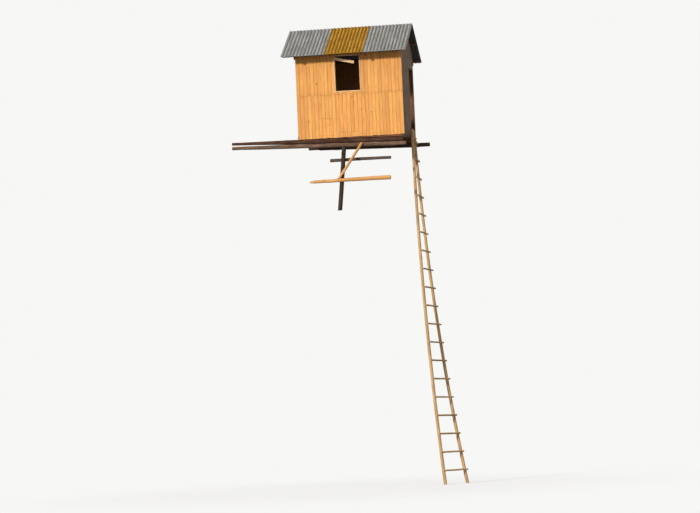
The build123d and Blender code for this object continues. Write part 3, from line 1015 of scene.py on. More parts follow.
@dataclass
class BoardWall:
    """A wall of upright boards in two tiers, nailed above and below each joint."""

    name: str
    nodes: tuple[str, ...]
    look: Look
    corner: Vector
    across: Vector
    width: float
    bottom: float
    eave: float
    seed: int
    top: Measure
    openings: tuple[Opening, ...] = ()
    # Left side, right side and top of the short boards let in at the wall's foot
    patches: tuple[tuple[float, float, float], ...] = ()
    tier: float = 2.505
    board: float = 0.076
    width_spread: float = 0.08
    thickness: float = 0.020
    chamfer: float = 0.0018
    warp: float = 0.0008
    gap: float = 0.0006
    gap_spread: tuple[float, float] = (0.5, 1.3)
    end_gap: float = 0.001
    ragged: float = 0.006
    ragged_spread: tuple[float, float] = (-0.3, 1.0)
    tilt: float = 0.001
    proud: tuple[float, float] = (-0.001, 0.0018)
    foot_nails: float = 0.045
    joint_nails: float = 0.03
    top_clear: float = 0.02
    nail_shares: tuple[float, float] = (0.25, 0.75)
    nail_scatter: tuple[float, float] = (0.006, 0.012)

    def edges(self) -> list[float]:
        """Splits the width into boards whose edges meet every opening's sides.

        Returns:
            Places of the board edges across the wall.
        """
        draw = random.Random(self.seed)
        sides = {side for hole in self.openings for side in (hole.left, hole.right)}
        places = [0.0, *sorted(side for side in sides if 0 < side < self.width), self.width]
        edges = [0.0]
        for low, high in zip(places, places[1:]):
            spread, count = self.width_spread, max(1, round((high - low) / self.board))
            parts = [1 + draw.uniform(-spread, spread) for _ in range(count)]
            run = low
            for part in parts[:-1]:
                run += (high - low) * part / sum(parts)
                edges.append(run)
            edges.append(high)
        return edges

    def build(self, finishes: Finishes, nails: NailRow) -> None:
        """Makes the boards and places their nails.

        Args:
            finishes: All materials.
            nails: Nail heads of the hut, which get this wall's.
        """
        piece = Piece(self.name, self.seed)
        uniform = piece.draw.uniform
        out = self.across.cross(Z_AXIS)
        side, rise = self.nail_scatter
        rows = (
            self.bottom + self.foot_nails, self.tier - self.joint_nails,
            self.tier + self.joint_nails, self.eave - self.joint_nails,
        )
        edges = self.edges()
        for low, high in zip(edges, edges[1:]):
            middle = (low + high) / 2
            holes = [hole for hole in self.openings if hole.left < middle < hole.right]
            patches = [top for left, right, top in self.patches if left < middle < right]
            levels = [self.bottom, *patches, self.tier, None]
            for start, end in zip(levels, levels[1:]):
                for lower, upper in self.lengths(holes, start, end):
                    self.add_board(piece, low, high, lower, upper)
            for row in rows:
                in_hole = any(hole.bottom < row < hole.top for hole in holes)
                if in_hole or row >= self.top(middle) - self.top_clear:
                    continue
                for share in self.nail_shares:
                    x = low + (high - low) * share + uniform(-side, side)
                    place = self.corner + self.across * x + Z_AXIS * (row + uniform(-rise, rise))
                    nails.add(place + out * HEAD_PROUD, out)
        piece.finish(finishes, self.look, *self.nodes)

    def lengths(
        self, holes: list[Opening], start: float, end: float | None
    ) -> list[tuple[float, float | None]]:
        """Cuts a board's run where an opening takes it away.

        Args:
            holes: The opening in the board's way, if any.
            start: Lower end of the run.
            end: Upper end, or None for the wall's top.

        Returns:
            Lower and upper end of each length that is left.
        """
        parts = [(start, end)]
        for hole in holes:
            parts = []
            if start < hole.bottom:
                parts.append((start, hole.bottom if end is None else min(end, hole.bottom)))
            if end is None or end > hole.top:
                parts.append((max(start, hole.top), end))
        return parts

    def add_board(
        self, piece: Piece, low: float, high: float, lower: float, upper: float | None
    ) -> None:
        """Adds one board to the wall.

        Args:
            piece: The wall's mesh.
            low: Left edge.
            high: Right edge.
            lower: Lower end.
            upper: Upper end, or None for the wall's top.
        """
        uniform = piece.draw.uniform
        gap = self.gap * uniform(*self.gap_spread)
        left, width = low + gap / 2, high - low - gap
        # Only the ends at the wall's foot are uneven
        at_foot = lower <= self.bottom
        drop = uniform(*self.ragged_spread) * self.ragged if at_foot else -self.end_gap
        tilt = uniform(-self.tilt, self.tilt)
        # The board's outer face stands at the wall's face, a hair in or out
        proud = self.across.cross(Z_AXIS) * uniform(*self.proud)

        def top(share: float) -> float:
            """Gives the upper end's height.

            Args:
                share: Share of the board's width.

            Returns:
                The height.
            """
            if upper is None:
                return self.top(left + share * width)
            return upper - self.end_gap + tilt * share

        piece.plank(
            self.corner + self.across * left + proud, Z_AXIS, self.across, width, self.thickness,
            lambda share: lower - drop + tilt * share, top, self.chamfer,
            uniform(-self.warp, self.warp), 2,
        )


@dataclass
class Assembly:
    """A part of the object that is dressed from the one set of finishes."""

    finishes: Finishes


@dataclass
class Hut(Assembly):
    """The board walls, floor and timber frame of the hut."""

    patches: tuple[tuple[float, float, float], ...] = ((-0.39, -0.065, 1.995), (0.096, 0.53, 1.68))
    gable_eave: float = 3.45
    floor_board: float = 0.125
    floor_gap: float = 0.003

    def build(self) -> None:
        """Builds the walls, floor and frame."""
        nails = NailRow()
        for wall in self.walls():
            wall.build(self.finishes, nails)
        nails.build("hut_wall_nails", self.finishes.nail, 41)
        self.build_floor()
        self.build_frame()

    def walls(self) -> list[BoardWall]:
        """Sets out the four walls, the front round its window and the right round its doorway.

        Returns:
            The front, back, left and right walls.
        """
        low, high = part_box("front_wall")
        hole_low, hole_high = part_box("window_lining")
        window = Opening(hole_low.x - low.x, hole_high.x - low.x, hole_low.z, hole_high.z)
        patches = tuple((left - low.x, right - low.x, top) for left, right, top in self.patches)
        front = BoardWall(
            "front_wall_boards", ("front_wall",), Look.FRONT_BOARDS,
            Vector((low.x, low.y, 0)), X_AXIS, high.x - low.x, low.z, high.z, 11,
            lambda _, top=high.z: top, (window,), patches,
        )
        low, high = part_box("back_wall")
        back = BoardWall(
            "back_wall_boards", ("back_wall",), Look.SIDE_BOARDS,
            Vector((high.x, high.y, 0)), -X_AXIS, high.x - low.x, low.z, high.z, 12,
            lambda _, top=high.z: top,
        )
        low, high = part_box("left_wall")

        def gable(y: float) -> float:
            """Height of the gable's edge at a place along Y."""
            return high.z - abs(y - (low.y + high.y) / 2) * math.tan(ROOF_PITCH)

        left = BoardWall(
            "left_wall_boards", ("left_wall",), Look.FRONT_BOARDS,
            Vector((low.x, high.y, 0)), -Y_AXIS, high.y - low.y, low.z, self.gable_eave, 13,
            lambda x: gable(high.y - x),
        )
        over_low, over_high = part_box("right_wall_over_door")
        door = Opening(over_low.y - low.y, over_high.y - low.y, low.z - 1, over_low.z)
        right = BoardWall(
            "right_wall_boards", ("right_wall", "right_wall_over_door", "right_wall_corner"),
            Look.SIDE_BOARDS, Vector((over_high.x, low.y, 0)), Y_AXIS, high.y - low.y,
            low.z, self.gable_eave, 14, lambda x: gable(low.y + x), (door,),
        )
        return [front, back, left, right]

    def build_floor(self) -> None:
        """Lays the floor boards across the joists."""
        low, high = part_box("floor_boards")
        piece = Piece("floor_board_rows", 21)
        count = round((high.y - low.y) / self.floor_board)
        pitch = (high.y - low.y) / count
        for i in range(count):
            corner = Vector((low.x, low.y + i * pitch + self.floor_gap / 2, low.z))
            piece.plank(
                corner, X_AXIS, Y_AXIS, pitch - self.floor_gap, high.z - low.z,
                lambda _: 0.0, lambda _: high.x - low.x, 0.002,
            )
        piece.finish(self.finishes, Look.FLOOR, "floor_boards")

    def build_frame(self) -> None:
        """Builds the posts, plates, ties, girts and studs behind the boards."""
        groups = {
            "hut_corner_timbers": ("corner_posts",),
            "hut_top_timbers": ("front_plate", "rear_plate", "tie_beams"),
            "hut_rail_timbers": ("girts",),
            "hut_stud_timbers": ("window_studs", "door_studs"),
            "roof_ridge_board": ("ridge_beam",),
        }
        for seed, (name, nodes) in enumerate(groups.items(), 31):
            piece = Piece(name, seed)
            for node in nodes:
                for low, high in solid_boxes(node):
                    piece.block(low, high)
            piece.finish(self.finishes, Look.FRAME, *nodes)


@dataclass
class Window(Assembly):
    """The pale strips that line the window and the loose batten over its head."""

    strip: float = 0.018
    joint_gap: float = 0.0004
    head_setback: float = 0.001
    chamfer: float = 0.002
    batten_length: float = 0.455
    batten_width: float = 0.060
    batten_thickness: float = 0.016
    batten_tilt: float = math.radians(-13)
    # How far the upper edge falls short of the lower one at its left and right end
    batten_skew: tuple[float, float] = (0.004, 0.006)
    # Share of the length and of the width
    nail_places: tuple[tuple[float, float], ...] = ((0.02, 0.25), (0.02, 0.7), (0.96, 0.5))

    def build(self) -> None:
        """Builds the lining, whose head and sill fit between the uprights, and the batten."""
        low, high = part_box("window_lining")
        piece = Piece("window_lining_strips", 51)
        s = self.strip
        for x in (low.x, high.x - s):
            piece.block(Vector((x, low.y, low.z)), Vector((x + s, high.y, high.z)), self.chamfer)
        for z in (low.z, high.z - s):
            piece.block(
                Vector((low.x + s + self.joint_gap, low.y + self.head_setback, z)),
                Vector((high.x - s - self.joint_gap, high.y, z + s)), self.chamfer,
            )
        piece.finish(self.finishes, Look.WINDOW, "window_lining")
        self.build_batten()

    def build_batten(self) -> None:
        """Builds the batten that hangs askew over the window's head, and its nails."""
        low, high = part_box("window_batten")
        centre = (low + high) / 2
        along = Vector((math.cos(self.batten_tilt), 0, math.sin(self.batten_tilt)))
        across = Vector((-along.z, 0, along.x))
        # along crossed with across points to the front, so the batten grows from its back
        corner = Vector((centre.x, high.y, centre.z))
        corner -= along * (self.batten_length / 2) + across * (self.batten_width / 2)
        piece = Piece("window_head_batten", 52)
        piece.plank(
            corner, along, across, self.batten_width, self.batten_thickness,
            lambda share: self.batten_skew[0] * share,
            lambda share: self.batten_length - self.batten_skew[1] * share,
            self.chamfer, segments=4, tone=0.9,
        )
        piece.finish(self.finishes, Look.WINDOW, "window_batten")
        nails = NailRow(head=0.005)
        for reach, side in self.nail_places:
            place = corner + along * (self.batten_length * reach)
            place += across * (self.batten_width * side)
            place.y = low.y - HEAD_PROUD
            nails.add(place, -Y_AXIS)
        nails.build("window_batten_nails", self.finishes.nail, 53)


@dataclass
class Roof(Assembly):
    """Rafters, purlins and the six corrugated sheets with their nails."""

    rafter_depth: float = 0.060
    rafter_head: float = 0.015
    rafter_clear: float = 0.020
    rafter_trim: float = 0.004
    purlin_width: float = 0.050
    purlin_depth: float = 0.035
    purlin_inset: float = 0.050
    purlin_rows: int = 3
    purlin_slip: float = 0.006
    wave: float = 0.076
    wave_depth: float = 0.017
    gauge: float = 0.001
    over_lift: float = 0.0016
    front_start: float = -0.035
    dent: float = 0.004
    skew: float = 0.25
    across_steps: int = 12
    down_steps: int = 30
    nail_waves: int = 3
    nail_slip: float = 0.010
    nail_proud: float = 0.002
    # Rust round a nail, its runs below the nail and its reach up from the eave
    halo: float = 0.030
    rust_run: tuple[float, float] = (0.05, 0.28)
    eave_rust: float = 0.050
    nail_rust_share: float = 0.42
    end_rust_share: float = 0.30

    def __post_init__(self) -> None:
        """Reads the ridge and the roof's ends from the frame."""
        wall_low, wall_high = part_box("left_wall")
        self.cos, self.sin = math.cos(ROOF_PITCH), math.sin(ROOF_PITCH)
        self.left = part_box("front_sheet_left")[0].x
        self.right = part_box("front_sheet_right")[1].x
        self.ridge_y = (wall_low.y + wall_high.y) / 2
        self.peak = wall_high.z + SEAT_GAP + self.purlin_depth / self.cos
        self.slope_length = (self.ridge_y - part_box("front_sheet_middle")[0].y) / self.cos
        self.rafter_length = (self.ridge_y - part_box("front_rafters")[0].y) / self.cos
        step = (self.rafter_length - 2 * self.purlin_inset) / (self.purlin_rows - 1)
        # Each purlin's distance down from the ridge
        self.purlin_places = [self.purlin_inset + i * step for i in range(self.purlin_rows)]

    def down(self, slope: Slope) -> Vector:
        """Gives the direction down a slope."""
        return Vector((0, slope.value * self.cos, -self.sin))

    def out(self, slope: Slope) -> Vector:
        """Gives the direction out of a slope."""
        return Vector((0, slope.value * self.sin, self.cos))

    def point(self, slope: Slope, x: float, run: float, height: float) -> Vector:
        """Gives a place on a slope.

        Args:
            slope: Front or rear.
            x: Place along the ridge.
            run: Distance down from the ridge.
            height: Height over the purlins.

        Returns:
            The place.
        """
        ridge = Vector((x, self.ridge_y, self.peak))
        return ridge + self.down(slope) * run + self.out(slope) * height

    def build(self) -> None:
        """Builds the roof's timbers, sheets and nails."""
        for slope in Slope:
            self.build_rafters(slope)
        for slope in Slope:
            self.build_purlins(slope)
        tree = self.sheet_tree()
        nails = NailRow(head=0.011, height=0.006, sides=10)
        draw = random.Random(71)
        for slope in Slope:
            for part in ("left", "middle", "right"):
                self.build_sheet(tree, slope, f"{slope.name.lower()}_sheet_{part}", nails, draw)
        nails.build("roof_nail_heads", self.finishes.nail, 72)

    def build_rafters(self, slope: Slope) -> None:
        """Builds a slope's rafters, which lie a purlin's depth under the sheets.

        Args:
            slope: Front or rear.
        """
        side = slope.name.lower()
        piece = Piece(f"{side}_rafter_timbers", 61 + slope.value)
        for low, high in solid_boxes(f"{side}_rafters"):
            x = low.x if slope is Slope.REAR else high.x
            piece.plank(
                self.point(slope, x, 0, -self.purlin_depth), self.down(slope),
                X_AXIS * slope.value, high.x - low.x, self.rafter_depth,
                lambda _: self.rafter_head / self.cos + self.rafter_clear,
                lambda _: self.rafter_length - self.rafter_trim, segments=2,
            )
        piece.finish(self.finishes, Look.FRAME, f"{side}_rafters")

    def build_purlins(self, slope: Slope) -> None:
        """Builds the purlins that a slope's sheets are nailed to.

        Args:
            slope: Front or rear.
        """
        side = slope.name.lower()
        piece = Piece(f"{side}_purlin_battens", 66 + slope.value)
        low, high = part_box(f"{side}_purlins")
        # A plank grows down from the sheets on the front slope and up to them on the rear
        height = 0.0 if slope is Slope.FRONT else -self.purlin_depth
        for run in self.purlin_places:
            slip = piece.draw.uniform(-self.purlin_slip, self.purlin_slip)
            piece.plank(
                self.point(slope, low.x, run - self.purlin_width / 2, height), X_AXIS,
                self.down(slope), self.purlin_width, self.purlin_depth,
                lambda _: slip, lambda _: high.x - low.x + slip, segments=2,
            )
        piece.finish(self.finishes, Look.FRAME, f"{side}_purlins")

    def sheet_tree(self) -> Tree:
        """Builds the tree that rolls a corrugated sheet and lays it on its slope.

        Returns:
            A tree with named inputs for the sheet's sizes, waves, dents and place.
        """
        floats = (
            "Width", "Length", "Middle", "Pitch", "Depth", "First", "Across Sign", "Down Sign",
            "Gauge", "Dent", "Seed",
        )
        tree, add, given = geometry_tree("corrugated_sheet", {
            **{name: "Float" for name in floats}, "Columns": "Int", "Rows": "Int",
            "Move": "Vector", "Turn": "Rotation", "Skew": "Rotation", "Finish": "Material",
        })
        size = (given[name] for name in ("Width", "Length", "Columns", "Rows"))
        flat = add("GeometryNodeMeshGrid", *size)
        spot = add("ShaderNodeSeparateXYZ", add("GeometryNodeInputPosition")).node.outputs
        start = add(Node.MULTIPLY_ADD, given["Width"], 0.5, given["First"])
        across = add(Node.MULTIPLY_ADD, spot[0], given["Across Sign"], start)
        run = add(Node.MULTIPLY_ADD, spot[1], given["Down Sign"], given["Middle"])
        waves = add("ShaderNodeMath", across, given["Pitch"], operation="DIVIDE")
        wave = add("ShaderNodeMath", add(Node.MULTIPLY, waves, math.tau), operation="SINE")
        rise = add(Node.MULTIPLY, add(Node.MULTIPLY, wave, given["Depth"]), 0.5)
        dents = add(
            Node.NOISE, add("ShaderNodeCombineXYZ", across, run, given["Seed"]), 3.0, 2.0
        )
        dented = add(Node.MULTIPLY_ADD, add(Node.SUBTRACT, dents, 0.5), given["Dent"], rise)
        height = add("ShaderNodeCombineXYZ", fill={"Z": dented})
        waved = add("GeometryNodeSetPosition", flat, fill={"Offset": height})
        marks = add("ShaderNodeCombineXYZ", across, run, wave)
        marked = add(
            "GeometryNodeStoreNamedAttribute", waved, fill={"Name": "sheet", "Value": marks},
            data_type="FLOAT_VECTOR", domain="POINT",
        )
        # The top skin is drawn out of the lower one, which is turned over and joined to it
        top = add(
            "GeometryNodeExtrudeMesh", marked, mode="FACES",
            fill={"Offset Scale": given["Gauge"], "Individual": False},
        )
        under = add(
            "GeometryNodeStoreNamedAttribute", add("GeometryNodeFlipFaces", marked),
            fill={"Name": "under", "Value": 1.0}, data_type="FLOAT", domain="FACE",
        )
        both = add("GeometryNodeJoinGeometry")
        for skin in (top, under):
            tree.links.new(skin, both.node.inputs[0])
        closed = add("GeometryNodeMergeByDistance", both, fill={"Distance": 0.00001})
        skewed = add("GeometryNodeTransform", closed, fill={"Rotation": given["Skew"]})
        laid = add(
            "GeometryNodeTransform", skewed,
            fill={"Translation": given["Move"], "Rotation": given["Turn"]},
        )
        real = add("GeometryNodeRealizeInstances", add("GeometryNodeSetShadeSmooth", laid))
        coated = add("GeometryNodeSetMaterial", real, fill={"Material": given["Finish"]})
        add("NodeGroupOutput", coated)
        return tree

    def build_sheet(
        self, tree: Tree, slope: Slope, node: str, nails: NailRow, draw: random.Random
    ) -> None:
        """Lays one sheet and drives its nails.

        Args:
            tree: The sheet's geometry tree.
            slope: Front or rear.
            node: CAD node that the sheet stands for.
            nails: The roof's nail heads, which get this sheet's.
            draw: The roof's random draws.
        """
        low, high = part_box(node)
        look = Look.OCHRE if node == "front_sheet_middle" else Look.ZINC
        lift = self.over_lift if node.endswith("middle") else SEAT_GAP
        crest = self.wave_depth + self.gauge
        # The front sheets run past the ridge, and the rear ones start below them
        rear_start = (self.peak + (crest + SEAT_GAP) * self.cos - high.z) / self.sin
        start = self.front_start if slope is Slope.FRONT else rear_start
        first = low.x - self.left if slope is Slope.FRONT else self.right - high.x
        length, width = self.slope_length - start, high.x - low.x
        middle = start + length / 2
        skew = math.radians(draw.uniform(-self.skew, self.skew))
        values = {
            "Width": width, "Length": length, "Middle": middle, "Pitch": self.wave,
            "Depth": self.wave_depth, "First": first, "Across Sign": float(-slope.value),
            "Down Sign": float(slope.value), "Gauge": self.gauge, "Dent": self.dent,
            "Seed": draw.uniform(0, GRAIN_SHIFT),
            "Columns": round(width / self.wave * self.across_steps) + 1,
            "Rows": self.down_steps + 1,
            "Move": self.point(slope, (low.x + high.x) / 2, middle, lift + self.wave_depth / 2),
            "Turn": (-slope.value * ROOF_PITCH, 0.0, 0.0), "Skew": (0.0, 0.0, skew),
            "Finish": self.finishes.materials[look],
        }
        mesh = run_tree(bpy.data.meshes.new("seed"), tree, values)
        heads = []
        slip, height = self.nail_slip, lift + crest + self.nail_proud
        base = math.ceil(first / self.wave - CREST)
        for k in range(0, round(width / self.wave), self.nail_waves):
            along = (base + k + CREST) * self.wave
            x = self.left + along if slope is Slope.FRONT else self.right - along
            if not low.x + slip < x < high.x - slip:
                continue
            for run in self.purlin_places:
                at = run + draw.uniform(-slip, slip)
                nails.add(self.point(slope, x, at, height), self.out(slope))
                heads.append((along, at))
        self.mark_rust(mesh, heads, start, draw)
        seat(mesh, f"{node}_metal", look.slot, node)

    def mark_rust(
        self,
        mesh: bpy.types.Mesh,
        heads: list[tuple[float, float]],
        start: float,
        draw: random.Random,
    ) -> None:
        """Stores where rust starts: round nails, below them and along the sheet's ends.

        Args:
            mesh: The sheet's mesh, with its sheet mark.
            heads: Each nail's distance along the waves and down the slope.
            start: The sheet's upper end.
            draw: The roof's random draws.
        """
        halo = self.halo
        flat = [0.0] * (len(mesh.vertices) * 3)
        mesh.attributes["sheet"].data.foreach_get("vector", flat)
        runs = [(x, run, draw.uniform(*self.rust_run)) for x, run in heads]
        values = []
        for x, run in zip(flat[::3], flat[1::3]):
            near = 0.0
            for nail_x, nail_run, tail in runs:
                side, below = abs(x - nail_x), run - nail_run
                if side < halo and -halo < below < tail:
                    fade = 1 - below / tail if below > 0 else 1 + below / halo
                    near = max(near, self.nail_rust_share * fade * (1 - side / halo))
            eave = 1 - abs(self.slope_length - run) / self.eave_rust
            edge = max(0.0, eave, 1 - abs(run - start) / halo)
            values.append(near + self.end_rust_share * edge)
        write_mark(mesh, "rust", "POINT", values)


def straight(
    start: Vector,
    end: Vector,
    bow: tuple[float, float, float] = (0, 0, 0),
    wander: float = 0.0,
    seed: float = 0.0,
) -> Line:
    """Makes the centre line of a pole that bows a little.

    Args:
        start: First end.
        end: Other end.
        bow: How far the middle stands off the straight line.
        wander: Size of the smaller bends.
        seed: Where the smaller bends start.

    Returns:
        The point by the share of the length.
    """

    def place(share: float) -> Vector:
        """Gives the centre point.

        Args:
            share: Share of the length.

        Returns:
            The point.
        """
        rest, at = 4 * share * (1 - share), share * 4 + seed
        spots = ((at, 0.3, 0.7), (0.9, at, 0.1), (0.2, 0.6, at))
        sway = Vector([noise.noise(Vector(spot)) for spot in spots])
        return start.lerp(end, share) + Vector(bow) * rest + sway * (wander * rest)

    return place


def taper(first: float, last: float) -> Measure:
    """Makes a radius that runs evenly from one size to another.

    Args:
        first: Radius at the start.
        last: Radius at the end.

    Returns:
        The radius by the share of the length.
    """
    return lambda share: first + (last - first) * share


def above(floor: float) -> Callable[[Vector], Vector]:
    """Makes a cut that leaves nothing below a height.

    Args:
        floor: The height.

    Returns:
        A function that lifts points to it.
    """
    return lambda point: Vector((point.x, point.y, max(point.z, floor)))


@dataclass
class Platform(Assembly):
    """The two front bearers, the rear one, joists and wedges, and the props below them."""

    slope: float = math.radians(1.4)
    upper_radius: float = 0.048
    lower_radius: float = 0.046
    thin_upper: float = 0.030
    thin_lower: float = 0.037
    thick_from: float = -0.90
    joist_radius: float = 0.035
    wedge_tone: float = 0.4
    wedge_pith: float = 0.030
    seat_length: float = 0.220
    seat_cut: float = 0.012
    post_radius: float = 0.048
    post_lean: float = 0.150
    post_foot: float = -0.05
    cope_drop: float = 0.020
    cross_radius: float = 0.042
    cross_left: float = 0.032
    cross_right: float = 0.047
    # Share of the radius left at the hewn point, and of the length by which it is gone
    hewn_point: float = 0.45
    hewn_length: float = 0.10
    brace_radius: float = 0.030
    brace_foot_x: float = 0.025
    brace_head_x: float = 0.556

    def __post_init__(self) -> None:
        """Reads the lower bearer's place from the frame, and sets the post's top."""
        low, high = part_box("front_bearer_lower")
        self.left, self.left_z = low.x, high.z - self.lower_radius * math.cos(self.slope)
        self.post_top = self.axis_z(self.post_lean) - self.cope_drop

    def axis_z(self, x: float) -> float:
        """Gives the lower bearers' axis height at a place along X."""
        return self.left_z - (x - self.left) * math.tan(self.slope)

    def build(self) -> None:
        """Builds the platform and its props."""
        # Lit and shaded copies of one bark: painted shade on the upper front and the rear bearer,
        # painted sunlight on the lower front one, with tones to match
        bearers = (
            ("front_bearer_upper", self.thin_upper, self.upper_radius, Look.RED_BARK, 0.4, 81),
            ("front_bearer_lower", self.thin_lower, self.lower_radius, Look.SUNLIT_BARK, 0.6, 82),
            ("rear_bearer_upper", self.upper_radius, self.upper_radius, Look.BLACK_BARK, 0.3, 85),
        )
        for bearer in bearers:
            self.build_bearer(*bearer)
        piece = Piece("floor_joist_poles", 91)
        for low, high in solid_boxes("joists"):
            centre = (low + high) / 2
            ends = (Vector((centre.x, y, centre.z)) for y in (low.y, high.y))
            radius = self.joist_radius + SEAT_GAP
            piece.pole(straight(*ends), taper(radius, radius), sides=24, lumps=0.004, knots=3)
        piece.finish(self.finishes, Look.BARK, "joists", smooth=True)
        piece = Piece("levelling_wedges", 95)
        for low, high in solid_boxes("packers"):
            self.add_wedge(piece, low, high)
        piece.finish(self.finishes, Look.FRAME, "packers")
        self.build_post()
        self.build_cross_poles()
        self.build_brace()

    def build_bearer(
        self, node: str, thin: float, radius: float, look: Look, tone: float, seed: int
    ) -> None:
        """Builds one bearer, which may grow thin to its left end.

        Args:
            node: CAD node that it stands for.
            thin: Radius at the left end.
            radius: Radius under the hut.
            look: Its finish.
            tone: Its lightness.
            seed: Seed of its random draws.
        """
        low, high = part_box(node)
        inset = radius * math.sin(self.slope)
        start = Vector((low.x + inset, (low.y + high.y) / 2, 0))
        start.z = high.z - radius * math.cos(self.slope)
        end = Vector((high.x - inset, start.y, 0))
        end.z = start.z - (end.x - start.x) * math.tan(self.slope)
        # Up to this share of the length the poles grow thin to the left and part
        full = (self.thick_from - low.x) / (high.x - low.x)

        def size(share: float) -> float:
            """Radius at a share of the length."""
            grown = min(1.0, max(0.0, share / full))
            return thin + (radius - thin) * grown * grown * (3 - 2 * grown)

        def seats(point: Vector) -> Vector:
            """Lifts a point that lies in the flat cut under either end.

            Args:
                point: The point.

            Returns:
                Its place on the cut wood.
            """
            half = self.seat_length / 2
            for centre in (low.x + half, high.x - half):
                if abs(point.x - centre) < half:
                    axis = start.z + (end.z - start.z) * (centre - start.x) / (end.x - start.x)
                    return above(axis - radius + self.seat_cut)(point)
            return point

        piece = Piece(f"{node}_pole", seed)
        clamp = Vector if node == "front_bearer_upper" else seats
        piece.pole(
            straight(start, end), size, sides=22, lumps=0.03, knots=14, clamp=clamp, tone=tone
        )
        piece.finish(self.finishes, look, node, smooth=True)

    def add_wedge(self, piece: Piece, low: Vector, high: Vector, chamfer: float = 0.002) -> None:
        """Adds one wedge between a bearer and the joists, thin at its left end.

        Args:
            piece: Mesh that gets it.
            low: Lowest corner of its box.
            high: Highest corner of its box.
            chamfer: Size of its broken edges.
        """
        first, c, top = len(piece.points), chamfer, high.z
        thin = low.z + (high.x - low.x) * math.tan(self.slope)
        for x, bottom in ((low.x, thin), (high.x, low.z)):
            ring = (
                (low.y + c, bottom), (high.y - c, bottom), (high.y, bottom + c), (high.y, top - c),
                (high.y - c, top), (low.y + c, top), (low.y, top - c), (low.y, bottom + c),
            )
            for y, z in ring:
                grain = Vector((y - low.y, z - top - self.wedge_pith, x))
                piece.point(Vector((x, y, z)), grain)
        second = first + len(ring)
        piece.skin(first, 2, len(ring), self.wedge_tone)
        piece.face(tuple(reversed(range(first, second))), self.wedge_tone, 1.0)
        piece.face(tuple(range(second, len(piece.points))), self.wedge_tone, 1.0)

    def build_post(self) -> None:
        """Builds the leaning post, with its flat foot and its hollowed head."""
        lean = self.post_lean / self.post_top
        start = Vector((lean * self.post_foot, 0, self.post_foot))
        end = Vector((self.post_lean, 0, self.post_top))
        hollow = self.lower_radius + SEAT_GAP

        def clamp(point: Vector) -> Vector:
            """Keeps a point above the foot's plane and below the bearer.

            Args:
                point: The point.

            Returns:
                Its place on the cut wood.
            """
            inner = math.sqrt(max(0.0, hollow ** 2 - point.y ** 2))
            limit = self.axis_z(point.x) - inner / math.cos(self.slope)
            return Vector((point.x, point.y, min(max(point.z, 0.0), limit)))

        # The post's almost black bark and low tone are painted shade
        piece = Piece("leaning_post_pole", 101)
        piece.pole(
            straight(start, end, (0.004, 0, 0), 0.004, 2.0),
            taper(self.post_radius, self.post_radius * 0.96),
            step=0.03, sides=24, lumps=0.035, knots=7, clamp=clamp, tone=0.25,
        )
        piece.finish(self.finishes, Look.BLACK_BARK, "front_post", smooth=True)

    def build_cross_poles(self) -> None:
        """Builds the peeled pole in front of the post and the dull one behind it."""
        low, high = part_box("front_cross_pole")
        base = (low.z + high.z) / 2 - self.cross_radius
        # Its back stays at the post, so that the thinner end lies a little nearer to it
        start = Vector((low.x, high.y - self.cross_left, base + self.cross_left))
        end = Vector((high.x, high.y - self.cross_right, base + self.cross_right))

        def hewn(share: float) -> float:
            """Radius, with a hewn point at the left end."""
            point = min(1.0, self.hewn_point + share / self.hewn_length)
            return taper(self.cross_left, self.cross_right)(share) * point

        piece = Piece("front_cross_pole_peeled", 111)
        piece.pole(
            straight(start, end, (0, 0, 0.006), 0.004, 5.0), hewn,
            step=0.03, sides=22, lumps=0.05, knots=9, tone=0.8,
        )
        piece.finish(self.finishes, Look.PEELED, "front_cross_pole", smooth=True)
        low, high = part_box("back_cross_pole")
        centre, radius = (low + high) / 2, (high.z - low.z) / 2
        ends = (Vector((x, centre.y, centre.z)) for x in (low.x, high.x))
        piece = Piece("back_cross_pole_bark", 112)
        piece.pole(
            straight(*ends, (0, 0, 0.004), 0.003, 9.0), taper(radius * 1.02, radius * 0.92),
            step=0.04, tone=0.6,
        )
        piece.finish(self.finishes, Look.BARK, "back_cross_pole", smooth=True)

    def build_brace(self) -> None:
        """Builds the brace between the cross pole and the front of the lower bearer."""
        r, foot_z = self.brace_radius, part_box("brace")[0].z
        head = Vector((self.brace_head_x, -(self.lower_radius + r + SEAT_GAP), 0.0))
        head.z = self.axis_z(head.x) + r
        span_x, span_z = head.x - self.brace_foot_x, head.z - foot_z
        # The share of its run at which it crosses the post, whose front it touches there
        lean = self.post_lean / self.post_top
        crossing = (lean * foot_z - self.brace_foot_x) / (span_x - lean * span_z)
        face = -(self.post_radius + r + SEAT_GAP)
        foot_y = (face - crossing * head.y) / (1 - crossing)
        foot = Vector((self.brace_foot_x, foot_y, foot_z))
        start = foot - (head - foot).normalized() * r * 2
        piece = Piece("brace_pole_peeled", 121)
        piece.pole(
            straight(start, head), taper(r, r * 0.96), step=0.025, knots=5,
            clamp=above(foot_z), tone=0.6,
        )
        piece.finish(self.finishes, Look.PEELED, "brace", smooth=True)


@dataclass
class Rail:
    """A ladder pole, straight at its top and bowed from where it leans on the joist."""

    top: Vector
    down: Vector
    top_length: float
    bow: Line
    bow_length: float

    @property
    def length(self) -> float:
        """The whole length."""
        return self.top_length + self.bow_length

    def line(self, share: float) -> Vector:
        """Gives the centre point.

        Args:
            share: Share of the whole length.

        Returns:
            The point.
        """
        run = share * self.length
        if run < self.top_length:
            return self.top + self.down * run
        return self.bow((run - self.top_length) / self.bow_length)


